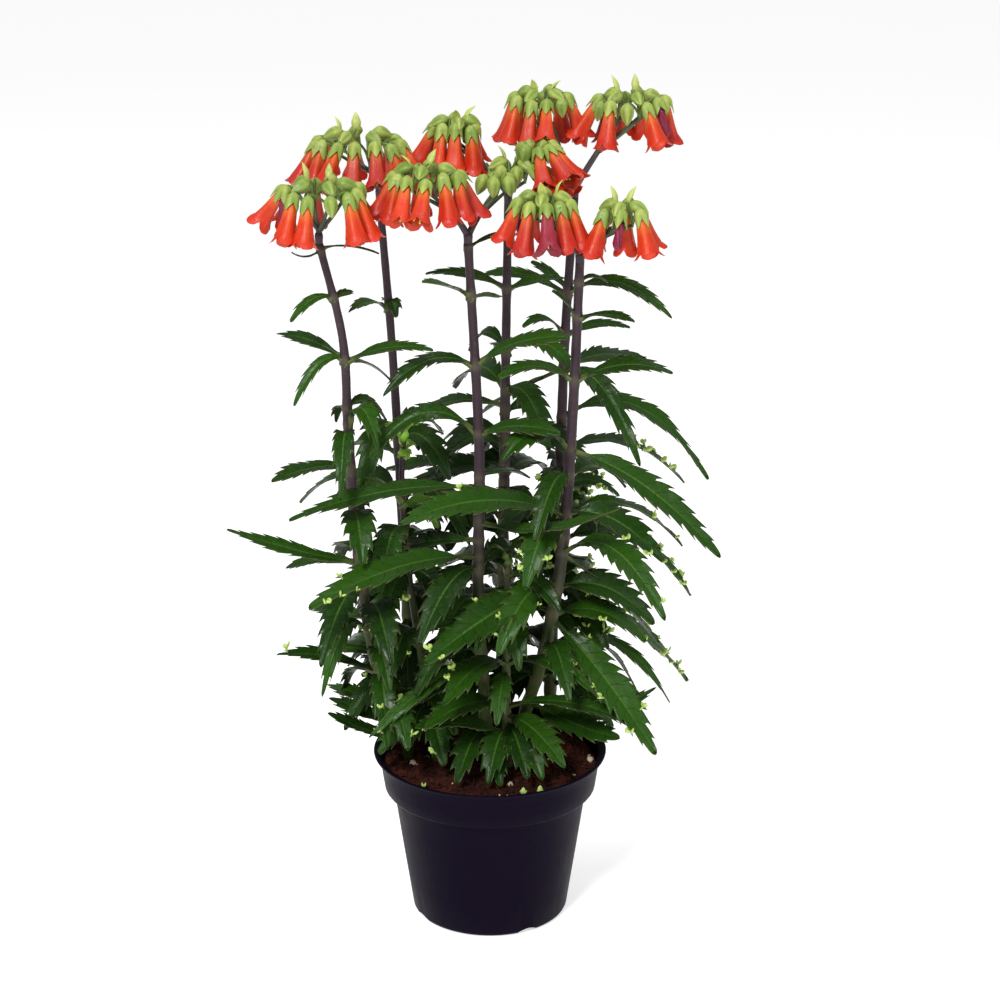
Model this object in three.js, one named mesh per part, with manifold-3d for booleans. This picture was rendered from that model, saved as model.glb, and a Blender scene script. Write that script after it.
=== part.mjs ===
// A potted kalanchoe: toothed leaves on dark upright stems, orange bell flowers nodding in flat heads,
// and a black nursery pot filled with soil.
// Millimetres, +Z up. The origin is the middle of the pot's flat underside, and the photographed side faces -Y.
import * as THREE from "three";
import { mergeVertices } from "three/addons/utils/BufferGeometryUtils.js";
import Module from "manifold-3d";

const wasm = await Module();
wasm.setup();

const DEG = Math.PI / 180;
const GAP = 0.3; // clearance between two pieces that touch

// Pot: radii and heights of a 17 cm nursery pot
const POT = {
  height: 126,
  rimRadius: 85,
  rimThickness: 2.2,
  collarTopRadius: 80.5,
  collarFootRadius: 77,
  collarFootHeight: 98,
  neckRadius: 70.5,
  neckHeight: 94.5,
  baseRadius: 57,
  baseCorner: 3,
  wall: 1.3,
  floor: 2,
  sides: 36,
};
const DRAIN = { count: 4, firstTurn: -61, radius: 12.5, drop: 8.5, reach: 12, sides: 16 };

// Soil: how full the pot is, and how rough the surface lies
const SOIL = { top: 116, relief: 1.3, rings: [20, 40, 57, 70], sides: 20 };

// Stems: each foot stands upright in a hole of the soil
const STEM = { footHeight: 90, footTop: 123, sides: 6, rings: 8, hole: 0.35 };

// Leaves: a narrow stalk, then a folded blade whose edge is cut into forward teeth
const LEAF = { stalk: 0.13, stalkHalfWidth: 1.7, thickness: 1.7, notch: 0.68, toothTip: 0.72, fold: 9 };
const ROLL = { mean: 30, uneven: 14 };
const SWING = { mean: 16, uneven: 12, most: 40, lift: 0.33 };
const WHORL = { reach: 60, uneven: 14, rise: -24, arch: 18, halfWidth: 12.5 };
const LEAF_TEETH = [
  { over: 100, teeth: 5 },
  { over: 85, teeth: 4 },
  { over: 60, teeth: 3 },
  { over: 0, teeth: 2 },
];

// Flowers: a green cup of four pointed lobes, and a bell with four spreading lobes.
// Each figure pair is a distance along the flower and the radius there.
const FLOWER = {
  calyxLobes: [11.5, 5.2],
  waist: [9.5, 4.2],
  petals: [33, 8.8],
  petalNotches: [30.5, 6.6],
  throat: 27,
};
const BUD = { shoulder: [5.5, 4], length: 15 };
const FADED = { shoulder: [8, 3.4], length: 27 };
const STALK = { radius: 0.9, rise: 2.5 };

// Heads: domes of flowers on spreading branches above the stem's end
const BRANCH = { neck: 7, neckRadius: 2.6, endRadius: 1.5, sides: 4 };
const DOME = { hubRadius: 4, hubHeight: 2.2, hubDrop: 11, slope: 0.12, unevenLean: 6, unevenTurn: 3 };
const ABOVE = { share: 0.45, lift: 1.5, lean: 68, shoulder: [3.5, 3], length: 10 };
const BRACT = { length: 11, halfWidth: 2.6, thickness: 1.6 };

// One stem: where it runs, how thick it is at foot and top, and its leaves.
// A leaf is [height on the stem, turn from +X, reach, rise to its tip, arch above the straight line, half width].
// A whorl is [height, turn] of a pair of opposite leaves of the common size.
// A head is made of domes of flowers:
//   at: [turn from +X, reach, rise] of the dome's middle from the fork at the stem's end
//   ring: [radius, number of flowers, how far they lean out from plumb]
//   face: [turn of the middle of the ring's arc, degrees of the arc]
//   buds: number of buds that fill the rest of the ring
//   above: number of buds on top
const STEMS = [
  {
    name: "a",
    radii: [4.4, 2.6],
    route: [
      [-60, 4, 123], [-68, 1, 150], [-80, -6, 185], [-93, -22, 290], [-97, -32, 380], [-99, -40, 445],
      [-113, -44, 511],
    ],
    whorls: [[202, -62], [255, 75], [235, 100], [312, 90], [180, 100], [176, -70]],
    leaves: [
      [507, -164, 19, -1, -4, 1.8], [508, 12, 39, -4, 3, 1.8], [474, -156, 30, -15, 7, 4.5],
      [473, 48, 18, 2, 1, 4.5], [430, 164, 50, 15, 4, 5.5], [430, -156, 37, -29, 13, 5],
      [428, -16, 63, 12, 6, 5.5], [428, 36, 36, -18, 6, 5], [382, -48, 33, -12, 21, 9.5],
      [393, 116, 20, -14, 7, 7], [366, -94, 50, -24, 26, 8], [351, -168, 52, -8, 4, 9],
      [276, -168, 91, 32, -2, 6.5], [276, 156, 61, -13, 5, 7], [282, 110, 46, -20, 14, 10],
      [221, -144, 39, -39, 27, 8], [187, -172, 70, 20, 6, 7], [202, 164, 32, -2, 4, 6],
      [153, 144, 67, 4, 2, 8], [142, 176, 54, 18, 0, 8], [131, -164, 56, 28, -3, 8],
      [395, 44, 36, -17, 9, 7], [345, 168, 39, -24, 6, 7], [232, 160, 47, 1, 1, 9],
    ],
    head: [
      { at: [0, 3, 33], ring: [24, 12, 18], above: 5 },
    ],
  },
  {
    name: "b",
    radii: [4, 2.6],
    route: [[-50, 34, 123], [-55, 36, 155], [-60, 37, 200], [-65, 36, 330], [-69, 34, 420], [-76, 30, 526]],
    whorls: [[178, -5], [235, 125], [305, -40], [355, 60], [160, 45]],
    leaves: [
      [448, -144, 31, -1, 6, 5], [450, -60, 11, -7, 7, 6.5], [448, 95, 28, -6, 6, 5],
      [350, -20, 40, -26, 17, 12], [338, 150, 62, -10, 12, 10], [345, 75, 50, -18, 16, 9],
      [273, 40, 40, -20, 12, 11], [262, 140, 58, -40, 18, 12], [215, -88, 42, -52, 10, 11],
      [195, 32, 52, -12, 14, 11], [190, 110, 56, -30, 18, 11], [150, 150, 50, 6, 8, 9],
      [173, -132, 41, -25, 15, 13], [150, -122, 34, -26, 8, 10],
    ],
    head: [
      { at: [182, 14, 38], ring: [28, 13, 18], face: [20, 360], above: 5 },
    ],
  },
  {
    name: "c",
    radii: [4.6, 2.9],
    route: [[-2, -8, 123], [-4, -11, 170], [-8, -18, 250], [-7, -26, 360], [-14, -30, 508]],
    whorls: [[245, 70], [270, 50], [202, 40]],
    leaves: [
      [505, 40, 34, 7, 2, 2], [473, -152, 36, 11, 2, 6], [471, 40, 27, -1, 1, 4.5],
      [422, -160, 66, -15, 15, 8], [424, -8, 64, 19, 7, 9], [373, -176, 76, -18, 25, 8],
      [373, -20, 59, 6, 6, 9], [334, -172, 130, -18, 9, 9], [343, 60, 72, -22, 5, 8],
      [308, -12, 98, 18, -10, 7], [282, -164, 118, -25, 10, 16], [204, -172, 80, -56, 6, 6],
      [186, -172, 62, -24, 12, 12], [294, 168, 76, -19, 5, 9], [150, -112, 54, -26, 8, 12],
      [143, -78, 50, -22, 8, 11],
    ],
    head: [
      { at: [186, 28, 44], ring: [21, 11, 18], face: [10, 360], above: 4 },
      { at: [43, 27, 36], ring: [9, 0, 0], buds: 5 },
    ],
  },
  {
    name: "d",
    radii: [4.4, 2.8],
    route: [[8, 46, 123], [9, 45, 200], [10, 42, 290], [12, 33, 450], [13, 30, 524]],
    whorls: [
      [196, 60], [223, 145], [285, 40], [168, -130], [268, -50], [240, -20], [310, -75], [350, 0],
      [385, 120],
    ],
    leaves: [
      [462, 164, 60, 7, 6, 5], [461, 24, 45, 5, 3, 5], [415, 132, 40, -7, 15, 6],
      [417, -36, 58, -7, 14, 9], [415, 100, 44, -8, 6, 7], [326, 165, 82, -30, 12, 12],
      [318, 60, 66, -14, 14, 12], [330, 105, 70, -20, 22, 10], [240, 95, 66, -30, 20, 12],
      [250, 150, 80, -44, 22, 12], [176, 110, 60, -16, 14, 11], [375, 168, 83, -19, 11, 8],
      [369, 24, 33, -4, 8, 6], [348, -160, 41, -3, 7, 8], [330, 160, 103, -17, 6, 8],
    ],
    head: [
      { at: [-60, 9, 22], ring: [14, 3, 56], face: [-8, 100], buds: 5, above: 3 },
      { at: [153, 41, 46], ring: [13, 8, 12], face: [205, 360], above: 4 },
      { at: [-20, 21, 36], ring: [11, 4, 46], face: [-34, 150], buds: 4 },
    ],
  },
  {
    name: "f",
    radii: [4.6, 2.9],
    route: [[44, 38, 123], [46, 42, 200], [50, 49, 290], [54, 58, 420], [60, 66, 520]],
    whorls: [[216, 140], [287, 80], [156, 140], [320, 80], [169, 30], [233, -50], [298, -100]],
    leaves: [
      [455, 132, 39, 13, 2, 4.5], [453, -8, 72, -20, 16, 6], [423, -164, 32, 6, 9, 4.5],
      [421, 20, 51, 2, 6, 4.5], [398, 20, 69, 1, 8, 10], [399, 164, 100, -68, 4, 7],
      [361, 8, 111, -52, 33, 9], [396, -48, 79, -54, 23, 9], [337, 24, 108, -39, 20, 8],
      [306, 20, 48, -9, 11, 7], [290, 60, 62, -14, 10, 10], [266, 12, 105, -49, 30, 13],
      [219, 28, 122, -86, 20, 12], [240, 80, 66, -26, 12, 12], [178, 20, 72, -38, 28, 6],
      [133, 4, 81, 20, -9, 8], [450, 168, 66, 13, 9, 5], [187, -4, 87, -39, 28, 6.5],
    ],
    head: [
      { at: [172, 24, 66], ring: [17, 9, 14], face: [165, 360], above: 4 },
      { at: [0, 39, 65], ring: [22, 11, 17], above: 5 },
    ],
  },
  {
    name: "g",
    radii: [5, 3],
    route: [[20, 18, 123], [28, 13, 155], [38, 4, 193], [50, -12, 270], [57, -27, 380], [61, -35, 496]],
    whorls: [
      [250, 165], [201, 110], [231, -10], [292, 70], [340, 60], [250, 240], [175, 10], [310, 170],
    ],
    leaves: [
      [483, 36, 25, -4, 4, 3], [412, -12, 67, 9, 9, 8], [413, -164, 54, 5, 9, 9],
      [363, -164, 50, -7, 17, 12], [361, -4, 104, -76, 13, 12], [312, -164, 118, 4, 14, 13],
      [312, 12, 89, -31, 20, 9], [282, -28, 76, -34, 27, 12], [282, 4, 73, -74, 6, 14],
      [228, -24, 80, -89, 8, 15], [205, 20, 60, -40, 12, 11], [157, -12, 66, -20, -3, 13],
      [457, -12, 38, -2, 4, 4.5], [458, -164, 18, 19, 2, 3.5], [260, -156, 102, -45, 6, 17],
    ],
    head: [
      { at: [172, 24, 37], ring: [16, 9, 13], face: [190, 360], above: 4 },
      { at: [-6, 29, 32], ring: [12, 6, 16], face: [-10, 360], above: 4 },
    ],
  },
  {
    name: "young_left",
    radii: [3.2, 1.8],
    route: [[-40, 0, 123], [-45, 1, 160], [-50, 2, 200], [-58, 2, 260], [-62, 2, 330], [-60, 0, 368]],
    whorls: [[213, -105], [281, 60], [290, 70]],
    leaves: [
      [364, -50, 17, 12, 4, 3.5], [360, 160, 14, 10, 4, 3.5], [352, -75, 18, 0, 4, 4],
      [350, 60, 18, 2, 5, 4], [316, -135, 34, 18, 6, 9], [312, -40, 34, -10, 10, 9],
      [262, -120, 44, -44, 14, 12], [262, -30, 42, -40, 16, 12], [160, -110, 40, -20, 10, 12],
      [158, -75, 46, -28, 8, 12], [150, -144, 44, -18, 8, 12], [178, -60, 46, -26, 10, 12],
    ],
  },
  {
    name: "young_front",
    radii: [3.4, 1.8],
    route: [[13, -16, 123], [12, -15, 160], [12, -14, 200], [13, -16, 245], [13, -18, 284]],
    whorls: [],
    leaves: [
      [281, -140, 15, 10, 3, 3], [281, 30, 15, 12, 3, 3], [277, -50, 16, 4, 4, 3],
      [270, 150, 16, 4, 4, 3], [253, -120, 44, -30, 10, 11], [266, -22, 40, -22, 10, 8],
      [246, -80, 44, -36, 10, 11], [198, -8, 66, -21, 13, 8], [198, -150, 50, -18, 12, 12],
      [168, -156, 62, -6, 8, 13], [146, -106, 48, -22, 12, 12], [140, -60, 50, -14, 12, 12],
      [144, -160, 68, 18, 5, 12], [165, -16, 102, -8, 12, 8], [190, -100, 40, -24, 10, 9],
      [152, -72, 48, -24, 8, 12], [158, -35, 50, -26, 8, 12],
    ],
  },
];

const material = {
  pot: new THREE.MeshStandardMaterial({ color: 0x1b1820, roughness: 0.42, metalness: 0 }),
  soil: new THREE.MeshStandardMaterial({ color: 0x3a1c12, roughness: 0.95, metalness: 0 }),
  leaves: new THREE.MeshStandardMaterial({ color: 0x1f5a1c, roughness: 0.4, metalness: 0 }),
  flowers: new THREE.MeshStandardMaterial({ color: 0xe8401c, roughness: 0.45, metalness: 0 }),
};

const up = new THREE.Vector3(0, 0, 1);
const point = (x, y, z) => new THREE.Vector3(x, y, z);
const heading = (turn) => point(Math.cos(turn * DEG), Math.sin(turn * DEG), 0);
const mix = (a, b, t) => a + (b - a) * t;

// A repeatable draw between -1 and 1 for each seed.
function scatter(seed) {
  const wave = Math.sin(seed * 12.9898) * 43758.5453;
  return 2 * (wave - Math.floor(wave)) - 1;
}

// Triangles between rings of points. A ring is one point, n points, or twice as many as the one before.
function skin(rings) {
  const corners = [];
  const face = (a, b, c) => corners.push(a, b, c);
  for (let k = 0; k + 1 < rings.length; k++) {
    const [low, high] = [rings[k], rings[k + 1]];
    const n = low.length === 1 ? high.length : low.length;
    for (let i = 0; i < n; i++) {
      const next = (i + 1) % n;
      if (low.length === 1) face(low[0], high[next], high[i]);
      else if (high.length === 1) face(low[i], low[next], high[0]);
      else if (high.length === 2 * n) {
        face(low[i], high[2 * i + 1], high[2 * i]);
        face(low[i], low[next], high[2 * i + 1]);
        face(low[next], high[(2 * i + 2) % (2 * n)], high[2 * i + 1]);
      } else if (i % 2 === 0) {
        face(low[i], low[next], high[next]);
        face(low[i], high[next], high[i]);
      } else {
        face(low[i], low[next], high[i]);
        face(low[next], high[next], high[i]);
      }
    }
  }
  return corners;
}

// Triangles that close a flat ring.
function lid(ring) {
  return ring.slice(1, -1).flatMap((p, i) => [ring[0], p, ring[i + 2]]);
}

// A closed body through rings, facing out.
function loft(rings) {
  return closed([...lid([...rings[0]].reverse()), ...skin(rings), ...lid(rings.at(-1))]);
}

function closed(corners) {
  let volume = 0;
  for (let i = 0; i < corners.length; i += 3) {
    volume += corners[i].dot(corners[i + 1].clone().cross(corners[i + 2]));
  }
  if (volume < 0) corners.reverse();
  return new THREE.BufferGeometry().setFromPoints(corners);
}

// A closed geometry as a manifold-3d solid.
function solid(geometry) {
  const bare = (geometry.index ? geometry.toNonIndexed() : geometry).clone();
  for (const name of Object.keys(bare.attributes)) {
    if (name !== "position") bare.deleteAttribute(name);
  }
  const merged = mergeVertices(bare, 1e-4);
  return new wasm.Manifold(
    new wasm.Mesh({
      numProp: 3,
      vertProperties: merged.attributes.position.array,
      triVerts: new Uint32Array(merged.index.array),
    }),
  );
}

const join = (solids) => solids.reduce((a, b) => a.add(b));

function mesh(name, shape, finish) {
  const made = shape.getMesh();
  const geometry = new THREE.BufferGeometry()
    .setAttribute("position", new THREE.BufferAttribute(new Float32Array(made.vertProperties), 3))
    .setIndex(new THREE.BufferAttribute(new Uint32Array(made.triVerts), 1));
  geometry.computeVertexNormals();
  const piece = new THREE.Mesh(geometry, finish.clone());
  piece.name = name;
  return piece;
}

// A ring of points round a centre, across a direction.
function ringAcross(centre, direction, side, radius, sides, phase = 0) {
  if (sides === 1) return [centre];
  const across = side.clone().addScaledVector(direction, -side.dot(direction)).normalize();
  const over = direction.clone().cross(across);
  return Array.from({ length: sides }, (_, i) => {
    const a = (2 * Math.PI * (i + phase)) / sides;
    return centre.clone().addScaledVector(across, radius * Math.cos(a)).addScaledVector(over, radius * Math.sin(a));
  });
}

// Stems
function stemCurve(stem) {
  return new THREE.CatmullRomCurve3(stem.route.map((p) => point(...p)), false, "centripetal");
}

function stemAt(curve, height) {
  let [low, high] = [0, 1];
  for (let i = 0; i < 30; i++) {
    const middle = (low + high) / 2;
    if (curve.getPoint(middle).z < height) low = middle;
    else high = middle;
  }
  return curve.getPoint(low).setZ(height);
}

function stemRing(centre, radius) {
  return ringAcross(centre, up, point(1, 0, 0), radius, STEM.sides);
}

// Level rings, so that the foot and the top end flat.
function stemShape(stem) {
  const curve = stemCurve(stem);
  const top = stem.route.at(-1)[2];
  const foot = point(...stem.route[0]);
  const rings = [stemRing(foot.clone().setZ(STEM.footHeight), stem.radii[0])];
  for (let i = 0; i <= STEM.rings; i++) {
    const t = i / STEM.rings;
    rings.push(stemRing(stemAt(curve, mix(STEM.footTop, top, t)), mix(stem.radii[0], stem.radii[1], t)));
  }
  return solid(loft(rings));
}

function holeShape(stem) {
  const foot = point(...stem.route[0]);
  const radius = stem.radii[0] + STEM.hole;
  const rings = [STEM.footHeight - GAP, SOIL.top + 10].map((z) => stemRing(foot.clone().setZ(z), radius));
  return solid(loft(rings));
}

// Swings a sideways leaf toward the front or the back, and lengthens it so that it spans the same width.
function swung([height, turn, reach, rise, arch, halfWidth], seed) {
  const axis = Math.abs(turn) > 90 ? 180 * Math.sign(turn) : 0;
  const off = turn - axis;
  if (Math.abs(off) > SWING.most) return { height, turn, reach, rise, arch, halfWidth };
  const way = Math.sign(off) || 1;
  const turned = off + way * (SWING.mean + SWING.uneven * scatter(seed + 0.5));
  const longer = (reach * Math.cos(off * DEG)) / Math.cos(turned * DEG);
  const forward = Math.cos(axis * DEG) * (reach * Math.sin(off * DEG) - longer * Math.sin(turned * DEG));
  return { height, turn: axis + turned, reach: longer, rise: rise + forward * SWING.lift, arch, halfWidth };
}

// Leaves: share of the blade's half width at a share s of its length
const bladeWidth = (s) => (Math.sqrt(s) * (1 - s) ** 0.6) / 0.4686;

function leafShape(base, sink, { turn, reach, rise, arch, halfWidth }, seed) {
  const out = heading(turn);
  const level = heading(turn + 90);
  const roll = (ROLL.mean + ROLL.uneven * scatter(seed + 0.7)) * Math.cos(turn * DEG) * DEG;
  const lift = (t) => rise * t + 4 * arch * t * (1 - t);
  const climb = (t) => rise + 4 * arch * (1 - 2 * t);
  const at = (t) => base.clone().addScaledVector(out, reach * t).addScaledVector(up, lift(t));
  const along = (t) => out.clone().multiplyScalar(reach).addScaledVector(up, climb(t)).normalize();
  const length = Math.hypot(reach, rise, 1.6 * arch);
  const { teeth } = LEAF_TEETH.find((row) => length > row.over);
  const fold = (LEAF.fold + 5 * scatter(seed)) * DEG;
  const section = (t, width, thickness) => {
    const raised = along(t).cross(level);
    const side = level.clone().multiplyScalar(Math.cos(roll)).addScaledVector(raised, Math.sin(roll));
    const over = along(t).cross(side);
    const edge = (sign) =>
      at(t).addScaledVector(side, sign * width * Math.cos(fold)).addScaledVector(over, width * Math.sin(fold));
    return [edge(1), edge(-1), at(t).addScaledVector(over, -thickness)];
  };
  const small = Math.min(1, halfWidth / 6);
  const stalk = Math.min(LEAF.stalkHalfWidth, halfWidth * 0.6);
  const rings = [[base.clone().addScaledVector(out, -sink)]];
  for (let k = 0; k < teeth; k++) {
    for (const [part, depth] of [[0, LEAF.notch], [LEAF.toothTip, 1]]) {
      const s = (k + part) / teeth;
      const width = Math.max(stalk, halfWidth * depth * bladeWidth(s));
      rings.push(section(mix(LEAF.stalk, 1, s), width, LEAF.thickness * mix(small, 0.5, s * 0.8)));
    }
  }
  rings.push([at(1)]);
  return solid(loft(rings));
}

// The pair of leaves of a whorl.
function pair([height, turn], seed) {
  return [0, 180].map((half) => {
    const s = seed + half / 400;
    return {
      height: height + half / 60,
      turn: turn + half + 12 * scatter(s),
      reach: WHORL.reach + WHORL.uneven * scatter(s + 0.2),
      rise: WHORL.rise + WHORL.uneven * scatter(s + 0.4),
      arch: WHORL.arch + 0.4 * WHORL.uneven * scatter(s + 0.6),
      halfWidth: WHORL.halfWidth + 2 * scatter(s + 0.8),
    };
  });
}

function leavesOf(stem, number) {
  const single = stem.leaves.map((row, i) => swung(row, number * 40 + i));
  return [...single, ...stem.whorls.flatMap((whorl, i) => pair(whorl, number * 9 + i))];
}

function leafyStem(stem, number) {
  const curve = stemCurve(stem);
  const sink = 0.35 * (stem.radii[0] + stem.radii[1]);
  const leaves = leavesOf(stem, number).map((leaf, i) =>
    leafShape(stemAt(curve, leaf.height), sink, leaf, number * 40 + i),
  );
  return join([stemShape(stem), ...leaves]);
}

// Flowers: the rings of one, from its knee down. Its corners lie between the two sides.
function flowerRings(start, { around, top, lean, kind }) {
  const way = heading(around);
  const side = heading(around + 90);
  const down = way.clone().multiplyScalar(Math.sin(lean * DEG)).addScaledVector(up, -Math.cos(lean * DEG));
  const knee = top.clone().addScaledVector(up, STALK.rise);
  const bend = knee.clone().sub(start).normalize().add(down).normalize();
  const ring = (distance, radius, sides = 4) =>
    ringAcross(top.clone().addScaledVector(down, distance), down, side, radius, sides, sides / 8);
  return [ringAcross(knee, bend, side, STALK.radius, 4, 0.5), ...kind(ring)];
}

function openFlower(ring) {
  const notches = ring(FLOWER.petalNotches[0], FLOWER.petalNotches[1], 8);
  const petals = ring(FLOWER.petals[0], FLOWER.petals[1], 8);
  return [
    ring(...FLOWER.calyxLobes),
    ring(...FLOWER.waist),
    petals.map((p, i) => (i % 2 ? notches[i] : p)),
    ring(FLOWER.throat, 0, 1),
  ];
}

const closedFlower = (sizes) => (ring) => [ring(...sizes.shoulder), ring(sizes.length, 0, 1)];

// Two narrow upright scales that stand on a dome.
function bractShape(base, turn, lean) {
  const side = heading(turn + 90);
  const direction = heading(turn).multiplyScalar(Math.sin(lean * DEG)).addScaledVector(up, Math.cos(lean * DEG));
  const over = direction.clone().cross(side);
  const middle = base.clone().addScaledVector(direction, BRACT.length * 0.4);
  const belt = [
    middle.clone().addScaledVector(side, BRACT.halfWidth),
    middle.clone().addScaledVector(over, BRACT.thickness / 2),
    middle.clone().addScaledVector(side, -BRACT.halfWidth),
    middle.clone().addScaledVector(over, -BRACT.thickness / 2),
  ];
  const tip = base.clone().addScaledVector(direction, BRACT.length);
  return solid(loft([[base.clone().addScaledVector(direction, -3)], belt, [tip]]));
}

// Flowers grown from the side faces of a small hub, one from each face, as a single skin.
function tierShape(hub, flowers) {
  const n = flowers.length;
  const turns = flowers.map((flower) => flower.around);
  const rim = (height) =>
    turns.map((turn, i) => {
      const before = turns[(i + n - 1) % n] - (i ? 0 : 360);
      return hub.clone().addScaledVector(heading((before + turn) / 2), DOME.hubRadius).addScaledVector(up, height);
    });
  const [low, high] = [rim(-DOME.hubHeight / 2), rim(DOME.hubHeight / 2)];
  const corners = [...lid([...low].reverse()), ...lid(high)];
  flowers.forEach((flower, i) => {
    const next = (i + 1) % n;
    corners.push(...skin([[high[next], high[i], low[i], low[next]], ...flowerRings(hub, flower)]));
  });
  return solid(closed(corners));
}

function domeShapes(crown, { at, ring, face = [0, 360], buds = 0, above = 0 }, seed) {
  const [turn, reach, rise] = at;
  const [radius, count, lean] = ring;
  const middle = crown.clone().addScaledVector(heading(turn), reach).addScaledVector(up, rise);
  const hub = middle.clone().addScaledVector(up, -DOME.hubDrop);
  const knee = crown.clone().lerp(hub, 0.5).addScaledVector(heading(turn), -reach * 0.06);
  const flower = (around, distance, lift, tilt, kind) => {
    const top = middle.clone().addScaledVector(heading(around), distance).addScaledVector(up, lift);
    return { around, top, lean: tilt, kind };
  };
  const ringFlowers = Array.from({ length: count }, (_, i) => {
    const s = seed * 31 + i;
    const around = face[0] + face[1] * ((i + 0.5) / count - 0.5) + DOME.unevenTurn * scatter(s);
    const draw = scatter(s + 0.2);
    const kind = draw > 0.75 ? closedFlower(BUD) : draw < -0.85 ? closedFlower(FADED) : openFlower;
    const distance = radius + 1.5 * scatter(s + 0.6);
    const lift = 2 * scatter(s + 0.4) - DOME.slope * distance;
    return flower(around, distance, lift, lean + DOME.unevenLean * scatter(s + 0.8), kind);
  });
  for (let i = 0; i < buds; i++) {
    const free = count ? 360 - face[1] : 360;
    const around = face[0] + (count ? face[1] / 2 : 0) + (free * (i + 0.5)) / buds;
    const distance = radius * 0.9 + scatter(seed * 43 + i);
    ringFlowers.push(flower(around, distance, -DOME.slope * distance, 12, closedFlower(BUD)));
  }
  const shapes = [branchShape([crown.clone().addScaledVector(up, -3), knee, hub], turn), tierShape(hub, ringFlowers)];
  if (above) {
    const topBuds = Array.from({ length: above }, (_, i) => {
      const around = face[0] + 75 + (360 * i) / above + 6 * scatter(seed * 57 + i);
      return flower(around, radius * ABOVE.share, ABOVE.lift, ABOVE.lean, closedFlower(ABOVE));
    });
    shapes.push(tierShape(hub.clone().addScaledVector(up, DOME.hubHeight * 0.9), topBuds));
    topBuds.slice(0, 2).forEach((bud) => shapes.push(bractShape(bud.top, bud.around, 22)));
  }
  return shapes;
}

function branchShape(points, turn) {
  const rings = points.map((p, i) => {
    const direction = points[Math.min(i + 1, points.length - 1)].clone().sub(points[Math.max(i - 1, 0)]).normalize();
    const radius = mix(BRANCH.neckRadius, BRANCH.endRadius, i / (points.length - 1));
    return ringAcross(p, direction, heading(turn + 90), radius, BRANCH.sides);
  });
  return solid(loft(rings));
}

function headShape(stem, number) {
  const top = point(...stem.route.at(-1));
  const crown = top.clone().addScaledVector(up, BRANCH.neck);
  const neck = loft([
    stemRing(top.clone().addScaledVector(up, GAP), stem.radii[1]),
    stemRing(crown, stem.radii[1] * 0.9),
  ]);
  return join([solid(neck), ...stem.head.flatMap((dome, i) => domeShapes(crown, dome, number * 7 + i))]);
}

// Pot
function potProfile() {
  const p = POT;
  const under = p.height - p.rimThickness;
  return [
    [0, 0],
    [p.baseRadius - p.baseCorner, 0],
    [p.baseRadius, p.baseCorner],
    [p.neckRadius, p.neckHeight],
    [p.collarFootRadius, p.collarFootHeight],
    [p.collarTopRadius, under - 1],
    [p.rimRadius, under],
    [p.rimRadius, p.height],
    [p.rimRadius - 1.5, p.height],
    ...innerProfile(),
  ];
}

// The inside wall from the rim down to the middle of the floor.
function innerProfile(inset = 0) {
  const p = POT;
  const w = p.wall + inset;
  return [
    [p.collarTopRadius - w, p.height - 3],
    [p.collarFootRadius - w, p.collarFootHeight + p.wall],
    [p.neckRadius - w, p.neckHeight + p.wall],
    [p.baseRadius - w, p.baseCorner + p.floor],
    [p.baseRadius - p.baseCorner - inset, p.floor + inset],
    [0, p.floor + inset],
  ];
}

function lathe(profile, sides) {
  const turned = new THREE.LatheGeometry(profile.map(([r, z]) => new THREE.Vector2(r, z)), sides);
  turned.rotateX(Math.PI / 2);
  return solid(turned);
}

function potShape() {
  let pot = lathe(potProfile(), POT.sides);
  for (let i = 0; i < DRAIN.count; i++) {
    const cutter = new THREE.CylinderGeometry(DRAIN.radius, DRAIN.radius, DRAIN.reach, DRAIN.sides);
    cutter.rotateZ(Math.PI / 2);
    cutter.translate(POT.baseRadius - 1, 0, -DRAIN.drop);
    cutter.rotateZ((DRAIN.firstTurn + (360 * i) / DRAIN.count) * DEG);
    pot = pot.subtract(solid(cutter));
  }
  return pot;
}

// Soil: fills the pot to just under the rim, with a plain hole for each stem
function soilShape() {
  const inner = innerProfile(GAP);
  const [rimSide, ...rest] = inner;
  const [wallLow] = rest;
  const share = (SOIL.top - wallLow[1]) / (rimSide[1] - wallLow[1]);
  const edge = mix(wallLow[0], rimSide[0], share);
  const ring = (radius, height) =>
    Array.from({ length: SOIL.sides }, (_, i) => {
      const a = (2 * Math.PI * i) / SOIL.sides;
      return point(radius * Math.cos(a), radius * Math.sin(a), height);
    });
  const surface = SOIL.rings.map((radius, k) =>
    ring(radius, SOIL.top).map((p, i) => p.setZ(SOIL.top + 2 - radius / 40 + SOIL.relief * scatter(k * 50 + i))),
  );
  const rings = [
    [point(0, 0, rest.at(-1)[1])],
    ...rest.slice(0, -1).reverse().map(([r, z]) => ring(r, z)),
    ring(edge, SOIL.top),
    ...surface.reverse(),
    [point(0, 0, SOIL.top + 2)],
  ];
  let soil = solid(loft(rings));
  for (const stem of STEMS) soil = soil.subtract(holeShape(stem));
  return soil;
}

const plant = new THREE.Group();
plant.add(mesh("pot", potShape(), material.pot));
plant.add(mesh("soil", soilShape(), material.soil));
STEMS.forEach((stem, i) => {
  plant.add(mesh(`leafy_stem_${stem.name}`, leafyStem(stem, i), material.leaves));
  if (stem.head) plant.add(mesh(`flower_head_${stem.name}`, headShape(stem, i), material.flowers));
});

export default plant;
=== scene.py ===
# The looks of a potted kalanchoe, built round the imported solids.
# Lengths are millimetres until a mesh is made, and angles are degrees.
import math

import bpy
import numpy as np
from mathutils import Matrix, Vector, noise


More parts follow.
